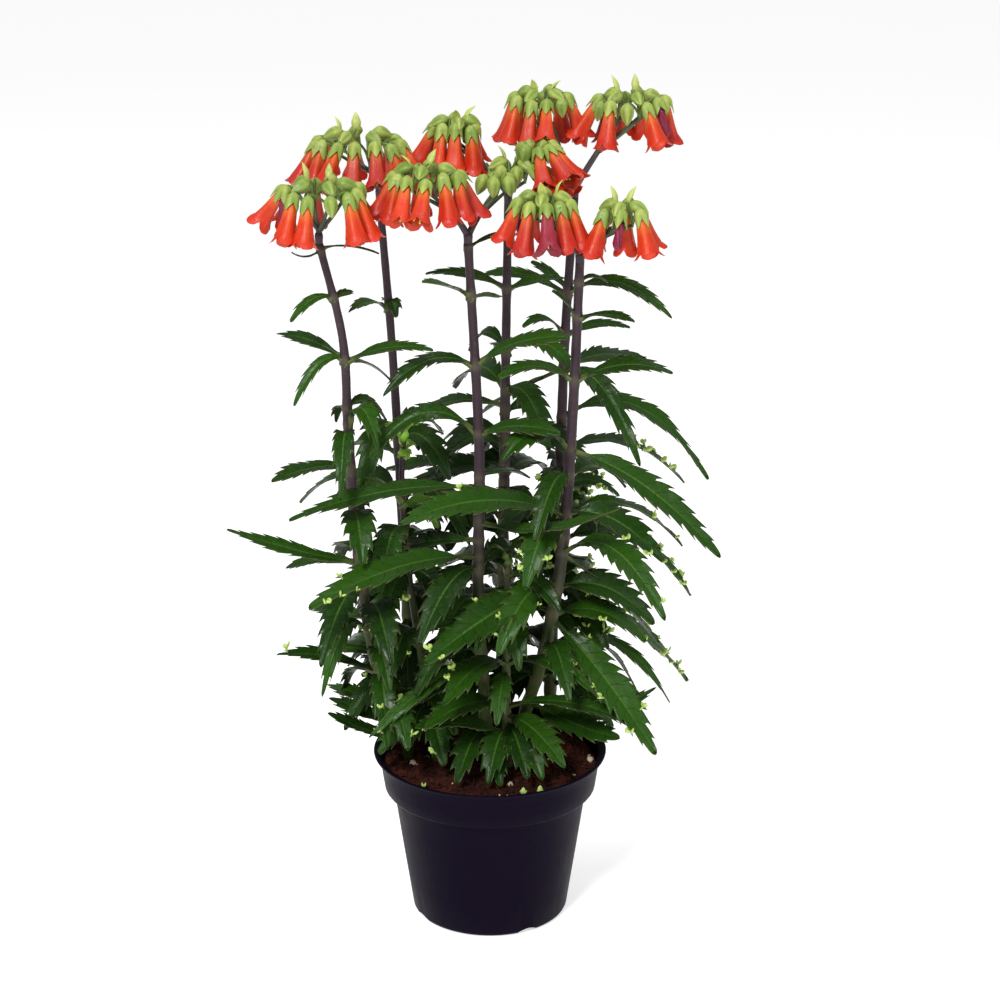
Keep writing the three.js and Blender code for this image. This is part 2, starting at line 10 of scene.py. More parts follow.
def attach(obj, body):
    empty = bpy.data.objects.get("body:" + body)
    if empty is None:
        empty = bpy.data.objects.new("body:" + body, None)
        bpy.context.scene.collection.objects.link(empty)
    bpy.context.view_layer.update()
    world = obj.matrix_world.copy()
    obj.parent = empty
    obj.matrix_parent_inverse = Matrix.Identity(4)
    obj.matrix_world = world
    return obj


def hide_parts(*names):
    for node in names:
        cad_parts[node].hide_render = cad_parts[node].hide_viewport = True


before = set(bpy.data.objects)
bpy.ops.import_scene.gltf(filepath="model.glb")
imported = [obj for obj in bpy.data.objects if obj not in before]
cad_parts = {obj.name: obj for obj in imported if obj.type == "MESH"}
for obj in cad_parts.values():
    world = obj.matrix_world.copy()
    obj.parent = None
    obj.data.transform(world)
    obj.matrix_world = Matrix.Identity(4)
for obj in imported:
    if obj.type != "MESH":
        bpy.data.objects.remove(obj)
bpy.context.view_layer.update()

for name in ("Cube", "Light", "Camera"):
    if name in bpy.data.objects:
        bpy.data.objects.remove(bpy.data.objects[name])

MM = 0.001
UP = np.array([0.0, 0.0, 1.0])

# The plant's plan: the same stems, leaves, heads and seeds as the solids have.
# A leaf is [height on the stem, turn from +X, reach, rise to its tip, arch, half width],
# and its arch is how far its middle stands above the straight line from foot to tip.
# A whorl is [height, turn] of a pair of opposite leaves of the common size.
# A head is made of domes: at [turn, reach, rise] from the fork at the stem's end,
# ring [radius, flowers, lean], face [middle, degrees] of the ring's arc,
# buds that fill the rest of the ring, and buds above.
STEMS = [{
    "name": "a",
    "radii": [4.4, 2.6],
    "route": [
        [-60, 4, 123], [-68, 1, 150], [-80, -6, 185], [-93, -22, 290], [-97, -32, 380], [-99, -40, 445],
        [-113, -44, 511],
    ],
    "whorls": [[202, -62], [255, 75], [235, 100], [312, 90], [180, 100], [176, -70]],
    "leaves": [
        [507, -164, 19, -1, -4, 1.8], [508, 12, 39, -4, 3, 1.8], [474, -156, 30, -15, 7, 4.5],
        [473, 48, 18, 2, 1, 4.5], [430, 164, 50, 15, 4, 5.5], [430, -156, 37, -29, 13, 5],
        [428, -16, 63, 12, 6, 5.5], [428, 36, 36, -18, 6, 5], [382, -48, 33, -12, 21, 9.5],
        [393, 116, 20, -14, 7, 7], [366, -94, 50, -24, 26, 8], [351, -168, 52, -8, 4, 9],
        [276, -168, 91, 32, -2, 6.5], [276, 156, 61, -13, 5, 7], [282, 110, 46, -20, 14, 10],
        [221, -144, 39, -39, 27, 8], [187, -172, 70, 20, 6, 7], [202, 164, 32, -2, 4, 6],
        [153, 144, 67, 4, 2, 8], [142, 176, 54, 18, 0, 8], [131, -164, 56, 28, -3, 8],
        [395, 44, 36, -17, 9, 7], [345, 168, 39, -24, 6, 7], [232, 160, 47, 1, 1, 9],
    ],
    "head": [
        {"at": [0, 3, 33], "ring": [24, 12, 18], "above": 5},
    ],
}, {
    "name": "b",
    "radii": [4, 2.6],
    "route": [
        [-50, 34, 123], [-55, 36, 155], [-60, 37, 200], [-65, 36, 330], [-69, 34, 420], [-76, 30, 526],
    ],
    "whorls": [[178, -5], [235, 125], [305, -40], [355, 60], [160, 45]],
    "leaves": [
        [448, -144, 31, -1, 6, 5], [450, -60, 11, -7, 7, 6.5], [448, 95, 28, -6, 6, 5],
        [350, -20, 40, -26, 17, 12], [338, 150, 62, -10, 12, 10], [345, 75, 50, -18, 16, 9],
        [273, 40, 40, -20, 12, 11], [262, 140, 58, -40, 18, 12], [215, -88, 42, -52, 10, 11],
        [195, 32, 52, -12, 14, 11], [190, 110, 56, -30, 18, 11], [150, 150, 50, 6, 8, 9],
        [173, -132, 41, -25, 15, 13], [150, -122, 34, -26, 8, 10],
    ],
    "head": [
        {"at": [182, 14, 38], "ring": [28, 13, 18], "face": [20, 360], "above": 5},
    ],
}, {
    "name": "c",
    "radii": [4.6, 2.9],
    "route": [[-2, -8, 123], [-4, -11, 170], [-8, -18, 250], [-7, -26, 360], [-14, -30, 508]],
    "whorls": [[245, 70], [270, 50], [202, 40]],
    "leaves": [
        [505, 40, 34, 7, 2, 2], [473, -152, 36, 11, 2, 6], [471, 40, 27, -1, 1, 4.5],
        [422, -160, 66, -15, 15, 8], [424, -8, 64, 19, 7, 9], [373, -176, 76, -18, 25, 8],
        [373, -20, 59, 6, 6, 9], [334, -172, 130, -18, 9, 9], [343, 60, 72, -22, 5, 8],
        [308, -12, 98, 18, -10, 7], [282, -164, 118, -25, 10, 16], [204, -172, 80, -56, 6, 6],
        [186, -172, 62, -24, 12, 12], [294, 168, 76, -19, 5, 9], [150, -112, 54, -26, 8, 12],
        [143, -78, 50, -22, 8, 11],
    ],
    "head": [
        {"at": [186, 28, 44], "ring": [21, 11, 18], "face": [10, 360], "above": 4},
        {"at": [43, 27, 36], "ring": [9, 0, 0], "buds": 5},
    ],
}, {
    "name": "d",
    "radii": [4.4, 2.8],
    "route": [[8, 46, 123], [9, 45, 200], [10, 42, 290], [12, 33, 450], [13, 30, 524]],
    "whorls": [
        [196, 60], [223, 145], [285, 40], [168, -130], [268, -50], [240, -20], [310, -75], [350, 0],
        [385, 120],
    ],
    "leaves": [
        [462, 164, 60, 7, 6, 5], [461, 24, 45, 5, 3, 5], [415, 132, 40, -7, 15, 6],
        [417, -36, 58, -7, 14, 9], [415, 100, 44, -8, 6, 7], [326, 165, 82, -30, 12, 12],
        [318, 60, 66, -14, 14, 12], [330, 105, 70, -20, 22, 10], [240, 95, 66, -30, 20, 12],
        [250, 150, 80, -44, 22, 12], [176, 110, 60, -16, 14, 11], [375, 168, 83, -19, 11, 8],
        [369, 24, 33, -4, 8, 6], [348, -160, 41, -3, 7, 8], [330, 160, 103, -17, 6, 8],
    ],
    "head": [
        {"at": [-60, 9, 22], "ring": [14, 3, 56], "face": [-8, 100], "buds": 5, "above": 3},
        {"at": [153, 41, 46], "ring": [13, 8, 12], "face": [205, 360], "above": 4},
        {"at": [-20, 21, 36], "ring": [11, 4, 46], "face": [-34, 150], "buds": 4},
    ],
}, {
    "name": "f",
    "radii": [4.6, 2.9],
    "route": [[44, 38, 123], [46, 42, 200], [50, 49, 290], [54, 58, 420], [60, 66, 520]],
    "whorls": [[216, 140], [287, 80], [156, 140], [320, 80], [169, 30], [233, -50], [298, -100]],
    "leaves": [
        [455, 132, 39, 13, 2, 4.5], [453, -8, 72, -20, 16, 6], [423, -164, 32, 6, 9, 4.5],
        [421, 20, 51, 2, 6, 4.5], [398, 20, 69, 1, 8, 10], [399, 164, 100, -68, 4, 7],
        [361, 8, 111, -52, 33, 9], [396, -48, 79, -54, 23, 9], [337, 24, 108, -39, 20, 8],
        [306, 20, 48, -9, 11, 7], [290, 60, 62, -14, 10, 10], [266, 12, 105, -49, 30, 13],
        [219, 28, 122, -86, 20, 12], [240, 80, 66, -26, 12, 12], [178, 20, 72, -38, 28, 6],
        [133, 4, 81, 20, -9, 8], [450, 168, 66, 13, 9, 5], [187, -4, 87, -39, 28, 6.5],
    ],
    "head": [
        {"at": [172, 24, 66], "ring": [17, 9, 14], "face": [165, 360], "above": 4},
        {"at": [0, 39, 65], "ring": [22, 11, 17], "above": 5},
    ],
}, {
    "name": "g",
    "radii": [5, 3],
    "route": [
        [20, 18, 123], [28, 13, 155], [38, 4, 193], [50, -12, 270], [57, -27, 380], [61, -35, 496],
    ],
    "whorls": [
        [250, 165], [201, 110], [231, -10], [292, 70], [340, 60], [250, 240], [175, 10], [310, 170],
    ],
    "leaves": [
        [483, 36, 25, -4, 4, 3], [412, -12, 67, 9, 9, 8], [413, -164, 54, 5, 9, 9],
        [363, -164, 50, -7, 17, 12], [361, -4, 104, -76, 13, 12], [312, -164, 118, 4, 14, 13],
        [312, 12, 89, -31, 20, 9], [282, -28, 76, -34, 27, 12], [282, 4, 73, -74, 6, 14],
        [228, -24, 80, -89, 8, 15], [205, 20, 60, -40, 12, 11], [157, -12, 66, -20, -3, 13],
        [457, -12, 38, -2, 4, 4.5], [458, -164, 18, 19, 2, 3.5], [260, -156, 102, -45, 6, 17],
    ],
    "head": [
        {"at": [172, 24, 37], "ring": [16, 9, 13], "face": [190, 360], "above": 4},
        {"at": [-6, 29, 32], "ring": [12, 6, 16], "face": [-10, 360], "above": 4},
    ],
}, {
    "name": "young_left",
    "radii": [3.2, 1.8],
    "route": [[-40, 0, 123], [-45, 1, 160], [-50, 2, 200], [-58, 2, 260], [-62, 2, 330], [-60, 0, 368]],
    "whorls": [[213, -105], [281, 60], [290, 70]],
    "leaves": [
        [364, -50, 17, 12, 4, 3.5], [360, 160, 14, 10, 4, 3.5], [352, -75, 18, 0, 4, 4],
        [350, 60, 18, 2, 5, 4], [316, -135, 34, 18, 6, 9], [312, -40, 34, -10, 10, 9],
        [262, -120, 44, -44, 14, 12], [262, -30, 42, -40, 16, 12], [160, -110, 40, -20, 10, 12],
        [158, -75, 46, -28, 8, 12], [150, -144, 44, -18, 8, 12], [178, -60, 46, -26, 10, 12],
    ],
    "young_above": 300,
}, {
    "name": "young_front",
    "radii": [3.4, 1.8],
    "route": [[13, -16, 123], [12, -15, 160], [12, -14, 200], [13, -16, 245], [13, -18, 284]],
    "whorls": [],
    "leaves": [
        [281, -140, 15, 10, 3, 3], [281, 30, 15, 12, 3, 3], [277, -50, 16, 4, 4, 3],
        [270, 150, 16, 4, 4, 3], [253, -120, 44, -30, 10, 11], [266, -22, 40, -22, 10, 8],
        [246, -80, 44, -36, 10, 11], [198, -8, 66, -21, 13, 8], [198, -150, 50, -18, 12, 12],
        [168, -156, 62, -6, 8, 13], [146, -106, 48, -22, 12, 12], [140, -60, 50, -14, 12, 12],
        [144, -160, 68, 18, 5, 12], [165, -16, 102, -8, 12, 8], [190, -100, 40, -24, 10, 9],
        [152, -72, 48, -24, 8, 12], [158, -35, 50, -26, 8, 12],
    ],
    "young_above": 262,
}]

# Stems: rings from the foot in the soil to the head, with a swelling where each leaf grows
STEM_FOOT, STEM_BEND, STEM_STEP, STEM_SIDES = 90, 123, 4.0, 14
SWELL, SWELL_REACH, JOINT_REACH, STEM_UNEVEN = 0.55, 3.4, 2.2, 0.02

# Leaves
STALK_END, STALK_HALF_WIDTH, LEAF_THICKNESS, FOLD, TWIST = 0.13, 1.7, 1.7, 9, 0.16
ROLL_MEAN, ROLL_UNEVEN = 30, 14
SWING_MEAN, SWING_UNEVEN, SWING_MOST, SWING_LIFT = 16, 12, 40, 0.33
PAIR_REACH, PAIR_UNEVEN, PAIR_RISE, PAIR_ARCH, PAIR_HALF_WIDTH = 60, 14, -24, 18, 12.5
# The blade's half width is sqrt(s) * (1 - s) ** TIP_POWER over this curve's peak, tapered near the tip
TIP_POWER, OUTLINE_PEAK, TAPER, TAPER_FROM = 0.6, 0.4686, 0.42, 0.62
# [length that a leaf has to pass, teeth on each edge], and the places within a tooth that get a ring
TEETH = [(110, 11), (85, 9), (65, 8), (42, 6), (0, 4)]
TOOTH_PARTS = np.array([0.0, 0.3, 0.58, 0.76, 0.88])
TOOTH_TIP, TOOTH_DEPTH, TOOTH_HOOK, TOOTH_UNEVEN = 0.76, 0.28, 0.55, 0.35
ACROSS = np.array([-1, -0.8, -0.45, -0.13, 0, 0.13, 0.45, 0.8, 1])
STALK_PARTS = [0, 0.035, 0.07, 0.1]
WAVE, WAVE_STEP, GROOVE, RIB, RIB_REACH = 1.1, 7.5, 0.5, 0.13, 0.2
# Painted shade darkens the leaves towards the middle of the plant, and leaves turn bright at a young
# shoot's tip
SHADED_MIDDLE, SHADED_MIDDLE_SIZE = np.array([0, 40, 210]), np.array([85, 70, 170])
YOUTH_SPAN = 60
# On each stem, the heights of the leaves that carry plantlets, and the share of notches with one
PLANTLETS = {
    "a": (140, 232, 0.15),
    "b": (150, 240, 0.08),
    "c": (275, 290, 0.55),
    "d": (235, 252, 0.3),
    "f": (215, 345, 0.8),
    "g": (225, 318, 0.28),
    "young_left": (150, 265, 0.2),
    "young_front": (190, 256, 0.15),
}
PLANTLET_SIZE, SEEDLING_SIZE = (0.9, 1.7), (0.9, 1.5)
# Fallen plantlets that have rooted at the front of the pot
SEEDLINGS = [(8, -71), (13, -72.5), (24, -67), (36, -62), (-47, -54)]

# Heads
NECK, HUB_DROP, DOME_SLOPE, UNEVEN_LEAN, UNEVEN_TURN = 7, 11, 0.12, 6, 3
ABOVE_SHARE, ABOVE_LIFT, ABOVE_LEAN = 0.45, 1.5, 68
BUD_ABOVE, FADED_BELOW, BUD_LEAN = 0.75, -0.85, 12
LOOSE, LOOSE_BELOW = 13, 50
COLLAR_RISE = np.array([-3.0, 0.0, 2.5, 5.0, 7.0])
COLLAR_GIRTH = np.array([0.96, 1.02, 1.04, 1.12, 0.95])
LIMB_END, TWIG_RADII, STALK_RADII = 2.0, (1.75, 1.15), (1.0, 0.85)
BRACTS, BRACT_LENGTH, BRACT_HALF_WIDTH, BRACT_BOW = 2, (10.5, 13), (2.7, 3.5), 1.5

# Flowers: each row is [distance below the top, radius]
ROUND = 24
ANGLES = np.arange(ROUND) * 2 * math.pi / ROUND
FLOWER_LENGTH, CUP_LENGTH, MOUTH = 33, 15, 27
PETAL_OUTER = [(6, 3.0), (9, 3.7), (12, 4.15), (16, 4.6), (20, 5.2), (24, 6.0), (27, 6.8)]
PETAL_INNER = [(26.6, 6.2), (23, 5.2), (18, 4.1), (11, 3.2)]
FADED_PETALS = [
    (7.5, 2.7), (10, 2.9), (13, 2.6), (16, 2.3), (19, 2.5), (22, 2.8), (24.5, 2.5), (26.3, 1.5), (27, 0.4),
]
CALYX_OUTER = [(-1.3, 1.1), (-0.6, 2.0), (0.4, 3.3), (1.8, 4.15), (3.6, 4.6), (5.4, 4.65)]
BUD_OUTER = [
    (-1.3, 1.1), (-0.5, 2.0), (0.6, 3.3), (2.4, 4.2), (4.6, 4.5), (7.2, 4.2), (9.6, 3.4), (11.8, 2.3),
    (13.6, 1.1), (14.6, 0.3),
]
ANTHERS, LOW_ANTHER, HIGH_ANTHER = 8, (28.4, 3.9), (26.2, 4.5)
ANTHER_LENGTHS = np.array([-0.95, -0.6, 0, 0.6, 0.95])[:, None]
ANTHER_RADII = [0.2, 0.6, 0.78, 0.6, 0.2]

# Pot: [radius, height] up the outside, over the rim and down the inside
POT_PROFILE = [
    (0, 0), (30, 0), (52.5, 0), (54.6, 0.4), (56.2, 1.4), (57.1, 3.2), (60.6, 27), (64.2, 51), (67.4, 73),
    (70.4, 93.6), (70.8, 94.7), (76.2, 96.9), (77.2, 98.2), (78.4, 106), (79.6, 114.5), (80.4, 121.2),
    (81.2, 122.5), (83.9, 123.6), (84.8, 124.3), (85, 125), (84.6, 125.8), (83.8, 126), (83.1, 125.6),
    (80.2, 123.9), (79.2, 122.4), (77.6, 112), (75.9, 99.6), (69.6, 96), (69.2, 95.2), (64.4, 62),
    (55.8, 5), (53.5, 2.2), (30, 2), (0, 2),
]
POT_SIDES, POT_EDGE_ANGLE = 128, 38
DRAIN = {"count": 4, "first_turn": -61, "radius": 12.5, "drop": 8.5, "reach": 12, "from_middle": 56}

# Soil: its walls follow the pot, and its lumps are [height, how often, layer of the noise]
SOIL_TOP, SOIL_EDGE, SOIL_SIDES, SOIL_ROWS, SOIL_HEAP = 116, 77.4, 96, 58, 1.6
SOIL_WALLS = [(0, 2.4), (53, 2.6), (55.4, 5.2), (69, 95.6), (75.4, 99.9), (76.6, 107)]
SOIL_LUMPS = [(2.1, 0.11, 3.1), (1.0, 0.33, 7.7), (0.45, 1.1, 1.3)]
CRUMBS, CRUMB_SIDES, GOLDEN_TURN = 900, 7, 137.508
CRUMB_LEVELS = np.array([-1, -0.6, 0.1, 0.7, 1])
CRUMB_GIRTH = np.array([0.35, 0.9, 1.0, 0.7, 0.25])
FIBRES, FIBRE_LENGTH, FIBRE_RADIUS = 240, (5, 15), (0.22, 0.5)


def scatter(seed):
    """A repeatable draw between -1 and 1 for each seed, the same one as the solids use."""
    wave = math.sin(seed * 12.9898) * 43758.5453
    return 2 * (wave - math.floor(wave)) - 1


def chance(seed):
    """A repeatable draw between 0 and 1."""
    return 0.5 + 0.5 * scatter(seed)


def draw(seed, low, high):
    return low + (high - low) * chance(seed)


def mix(a, b, t):
    return a + (b - a) * t


def smooth(a, b, x):
    t = np.clip((x - a) / (b - a), 0, 1)
    return t * t * (3 - 2 * t)


def heading(turn):
    return np.array([math.cos(math.radians(turn)), math.sin(math.radians(turn)), 0.0])


def unit(v):
    return v / np.linalg.norm(v, axis=-1, keepdims=True)


class Piece:
    """Collects closed skins, with what the material reads at their points, and makes one object of them."""

    def __init__(self, *marks):
        self.points, self.faces, self.count = [], [], 0
        self.marks = {name: [] for name in marks}

    def loft(self, rings, **marks):
        m, n = rings.shape[:2]
        ids = np.arange(m * n).reshape(m, n)
        beside = np.roll(ids, -1, axis=1)
        quads = np.stack([ids[:-1], beside[:-1], beside[1:], ids[1:]], axis=-1).reshape(-1, 4)
        points = rings.reshape(-1, 3)
        p = points[quads] - points.mean(0)
        inside_out = np.einsum("ij,ij->", p[:, 0], np.cross(p[:, 1], p[:, 2]))
        inside_out += np.einsum("ij,ij->", p[:, 0], np.cross(p[:, 2], p[:, 3]))
        ends = [ids[0][::-1], ids[-1]]
        if inside_out < 0:
            quads = quads[:, ::-1]
            ends = [end[::-1] for end in ends]
        self.faces += (quads + self.count).tolist() + [(end + self.count).tolist() for end in ends]
        self.points.append(points)
        for name, kept in self.marks.items():
            kept.append(np.broadcast_to(marks.get(name, 0.0), (m, n)).ravel())
        self.count += m * n

    def make(self, name, material, slot, *nodes):
        mesh = bpy.data.meshes.new(name)
        mesh.from_pydata((np.concatenate(self.points) * MM).tolist(), [], self.faces)
        for mark, kept in self.marks.items():
            values = mesh.attributes.new(mark, "FLOAT", "POINT")
            values.data.foreach_set("value", np.concatenate(kept).astype(np.float32))
        mesh.polygons.foreach_set("use_smooth", [True] * len(mesh.polygons))
        mesh.materials.append(material)
        mesh.validate()
        thing = bpy.data.objects.new(name, mesh)
        bpy.context.scene.collection.objects.link(thing)
        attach(thing, "root")
        if nodes:
            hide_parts(*nodes)
        return thing


def ring(centre, direction, side, radius, sides):
    """Rings of points round each centre, across each direction."""
    across = unit(side - direction * np.sum(side * direction, axis=-1, keepdims=True))
    over = np.cross(direction, across)
    a = np.arange(sides) * 2 * math.pi / sides
    flat = across[:, None] * np.cos(a)[None, :, None] + over[:, None] * np.sin(a)[None, :, None]
    return centre[:, None] + flat * np.asarray(radius, float).reshape(-1, 1, 1)


def tube(piece, path, radius, sides, **marks):
    """A round bar along a path of points."""
    path = np.asarray(path, float)
    direction = unit(np.gradient(path, axis=0))
    side = np.array([0.31, 0.95, 0.02])
    rings = ring(path, direction, np.broadcast_to(side, path.shape), radius, sides)
    piece.loft(rings, **{k: np.asarray(v, float).reshape(-1, 1) for k, v in marks.items()})


def bezier(p, count):
    t = np.linspace(0, 1, count)[:, None]
    return (1 - t) ** 3 * p[0] + 3 * t * (1 - t) ** 2 * p[1] + 3 * t * t * (1 - t) * p[2] + t ** 3 * p[3]


# Stems
def stem_point(route, t):
    """A point of the centripetal spline through the route, at t from 0 to 1."""
    pts = [np.array(p, float) for p in route]
    last = len(pts) - 1
    p = last * t
    i = min(int(math.floor(p)), last - 1)
    w = p - i
    x1, x2 = pts[i], pts[i + 1]
    x0 = pts[i - 1] if i > 0 else 2 * pts[0] - pts[1]
    x3 = pts[i + 2] if i + 2 <= last else 2 * pts[last] - pts[last - 1]
    d0, d1, d2 = [max(np.sum((b - a) ** 2) ** 0.25, 1e-4) for a, b in ((x0, x1), (x1, x2), (x2, x3))]
    t1 = ((x1 - x0) / d0 - (x2 - x0) / (d0 + d1) + (x2 - x1) / d1) * d1
    t2 = ((x2 - x1) / d1 - (x3 - x1) / (d1 + d2) + (x3 - x2) / d2) * d1
    return x1 + t1 * w + (-3 * x1 + 3 * x2 - 2 * t1 - t2) * w * w + (2 * x1 - 2 * x2 + t1 + t2) * w ** 3


def stem_at(route, height):
    low, high = 0.0, 1.0
    for _ in range(30):
        middle = (low + high) / 2
        if stem_point(route, middle)[2] < height:
            low = middle
        else:
            high = middle
    found = stem_point(route, low)
    found[2] = height
    return found


def stem_skin(piece, stem, heights, leaves):
    route, (low, high) = stem["route"], stem["radii"]
    top = route[-1][2]
    centres, radii = [], []
    for z in heights:
        if z < STEM_BEND:
            centres.append([route[0][0], route[0][1], z])
        else:
            centres.append(stem_at(route, z))
        share = max(0.0, (z - STEM_BEND) / (top - STEM_BEND))
        swell = max([math.exp(-(((z - leaf[0]) / SWELL_REACH) ** 2)) for leaf in leaves])
        uneven = 1 + STEM_UNEVEN * math.sin(z * 0.31 + low)
        radii.append(mix(low, high, share) * uneven + SWELL * swell * (z > STEM_BEND))
    centres = np.array(centres)
    direction = np.broadcast_to(UP, centres.shape)
    rings = ring(centres, direction, np.broadcast_to(heading(0), centres.shape), radii, STEM_SIDES)
    nodes = np.array([min(abs(z - leaf[0]) for leaf in leaves) for z in heights])
    joint = np.exp(-(nodes / JOINT_REACH) ** 2)
    piece.loft(rings, height=np.array(heights)[:, None], joint=joint[:, None])


# Leaves
def swung(leaf, seed):
    """A leaf that points almost straight left or right, turned a little to the front or back."""
    height, turn, reach, rise, arch, half_width = leaf
    axis = math.copysign(180, turn) if abs(turn) > 90 else 0
    off = turn - axis
    if abs(off) > SWING_MOST:
        return leaf
    way = -1 if off < 0 else 1
    turned = off + way * (SWING_MEAN + SWING_UNEVEN * scatter(seed + 0.5))
    o, n = math.radians(off), math.radians(turned)
    longer = reach * math.cos(o) / math.cos(n)
    forward = math.cos(math.radians(axis)) * (reach * math.sin(o) - longer * math.sin(n))
    return [height, axis + turned, longer, rise + forward * SWING_LIFT, arch, half_width]


def pair(whorl, seed):
    """The two opposite leaves of a whorl."""
    made = []
    for half in (0, 180):
        s = seed + half / 400
        made.append([
            whorl[0] + half / 60,
            whorl[1] + half + 12 * scatter(s),
            PAIR_REACH + PAIR_UNEVEN * scatter(s + 0.2),
            PAIR_RISE + PAIR_UNEVEN * scatter(s + 0.4),
            PAIR_ARCH + 0.4 * PAIR_UNEVEN * scatter(s + 0.6),
            PAIR_HALF_WIDTH + 2 * scatter(s + 0.8),
        ])
    return made


def leaves_of(stem, number):
    single = [swung(leaf, number * 40 + i) for i, leaf in enumerate(stem["leaves"])]
    return single + [leaf for i, whorl in enumerate(stem["whorls"]) for leaf in pair(whorl, number * 9 + i)]


class Blade:
    """The middle line of a leaf and the directions across it."""

    def __init__(self, base, leaf, seed):
        turn, self.reach, self.rise, self.arch, self.half_width = leaf[1:]
        self.base, self.out, self.level = base, heading(turn), heading(turn + 90)
        roll = ROLL_MEAN + ROLL_UNEVEN * scatter(seed + 0.7)
        self.roll = math.radians(roll * math.cos(math.radians(turn)))
        self.length = math.hypot(self.reach, self.rise, 1.6 * self.arch)
        self.fold = math.radians(FOLD + 5 * scatter(seed))
        self.twist = TWIST * scatter(seed + 0.31)
        self.teeth = next(n for over, n in TEETH if self.length > over)

    def at(self, t):
        t = np.asarray(t, float)[..., None]
        return self.base + self.out * self.reach * t + UP * (self.rise * t + 4 * self.arch * t * (1 - t))

    def across(self, t):
        """The sideways and the upper direction at t."""
        t = np.asarray(t, float)[..., None]
        along = unit(self.out * self.reach + UP * (self.rise + 4 * self.arch * (1 - 2 * t)))
        raised = np.cross(along, self.level)
        roll = self.roll + self.twist * t
        side = self.level * np.cos(roll) + raised * np.sin(roll)
        return side, np.cross(along, side)

    def width(self, s):
        """The half width at s, from 0 at the blade's foot to 1 at its tip."""
        plain = self.half_width * np.sqrt(s) * np.maximum(1 - s, 0) ** TIP_POWER / OUTLINE_PEAK
        return plain * (1 - TAPER * smooth(TAPER_FROM, 1, s))


def leaf_skin(piece, base, sink, leaf, seed, youth):
    """A leaf with its stalk, which starts at the depth of sink inside the stem."""
    blade = Blade(base, leaf, seed)
    small = min(1, blade.half_width / 6)
    stalk = min(STALK_HALF_WIDTH, blade.half_width * 0.6)
    parts = (np.arange(blade.teeth)[:, None] + TOOTH_PARTS) / blade.teeth
    s = np.append(parts.ravel(), [0.98, 1.0])
    phase = np.append(np.tile(TOOTH_PARTS, blade.teeth), [TOOTH_TIP, TOOTH_TIP])
    tip = np.where(phase <= TOOTH_TIP, phase / TOOTH_TIP, (1 - phase) / (1 - TOOTH_TIP))
    deep = TOOTH_DEPTH * min(1, blade.half_width / 7)
    tooth = np.minimum((s * blade.teeth).astype(int), blade.teeth - 1)
    u = np.concatenate([ACROSS, ACROSS[::-1]])
    edges = []
    for edge in (0.15, 0.65):
        bold = np.array([scatter(seed * 2.3 + k * 0.77 + edge) for k in range(blade.teeth)])[tooth]
        cut = 1 - deep * (1 + TOOTH_UNEVEN * bold) * (1 - tip)
        edges.append(np.maximum(stalk * np.clip(9 * (1 - s), 0.15, 1), blade.width(s) * cut))
    hook = TOOTH_HOOK * tip ** 2 / blade.teeth * np.minimum(1, 6 * (1 - s))
    stalk_t = np.array([-sink / blade.reach, *STALK_PARTS])
    t = np.concatenate([stalk_t, mix(STALK_END, 1, s)])
    hook = np.concatenate([np.zeros(len(stalk_t)), hook])
    flare = stalk * (1 + 0.9 * np.exp(-np.maximum(stalk_t, 0) * blade.reach / 2.5))
    right, left = (np.concatenate([flare, edge])[:, None] for edge in edges)
    width = np.where(u > 0, right, left)
    under = np.repeat([0.0, 1.0], len(ACROSS))
    tt = np.minimum(t[:, None] + hook[:, None] * np.abs(u) ** 4 * (1 - STALK_END), 1.0)
    side, over = blade.across(tt)
    flat = smooth(0.06, 0.24, t)[:, None]
    ripple = tt * blade.length / WAVE_STEP + 5 * scatter(seed + 0.1) + 1.3 * np.sign(u)
    wave = WAVE * min(1, blade.half_width / 10) * np.sin(ripple)
    lift = width * np.abs(u) ** 1.25 * math.sin(blade.fold) + flat * wave * u ** 2
    groove = GROOVE * small * np.maximum(0, 1 - np.abs(u) / RIB)
    thick = LEAF_THICKNESS * mix(small, 0.5, np.clip(t, 0, 1) * 0.8)[:, None]
    rib = np.maximum(0, 1 - np.abs(u) / RIB_REACH)
    leafy = thick * (0.42 + 0.4 * (1 - np.abs(u)) + 0.35 * rib)
    round_stalk = 1.5 * width * np.sqrt(np.maximum(0, 1 - u ** 2)) + 0.3
    low = mix(np.minimum(round_stalk, 3.6), leafy, flat)
    height = lift - np.where(under > 0, low, groove)
    points = blade.at(tt) + side * (width * u * math.cos(blade.fold))[..., None] + over * height[..., None]
    vein = (np.clip((tt - STALK_END) / (1 - STALK_END), 0, 1) * blade.teeth) - 0.8 * np.abs(u)
    piece.loft(
        points,
        across=u[None, :],
        along=tt,
        vein=vein,
        under=under[None, :],
        tone=chance(seed + 0.9),
        youth=youth,
        # inner is painted shade, strongest at the middle of the plant
        inner=np.exp(-np.sum(((points - SHADED_MIDDLE) / SHADED_MIDDLE_SIZE) ** 2, axis=-1)),
    )
    return blade


def plantlets(piece, blade, share, seed):
    """Tiny plants in the notches of a leaf's edge."""
    for k in range(blade.teeth // 2, blade.teeth):
        for edge in (-1, 1):
            s = seed * 17 + k * 2 + edge * 0.37
            if scatter(s) > 2 * share - 1:
                continue
            part = (k + 0.04) / blade.teeth
            t = mix(STALK_END, 1, part)
            side, over = blade.across(t)
            width = float(blade.width(part)) * 0.74
            foot = blade.at(t) + side * edge * width + over * (width * math.sin(blade.fold) - 0.4)
            small_plant(piece, foot, side * edge + 0.2 * over, s, draw(s + 0.3, *PLANTLET_SIZE))


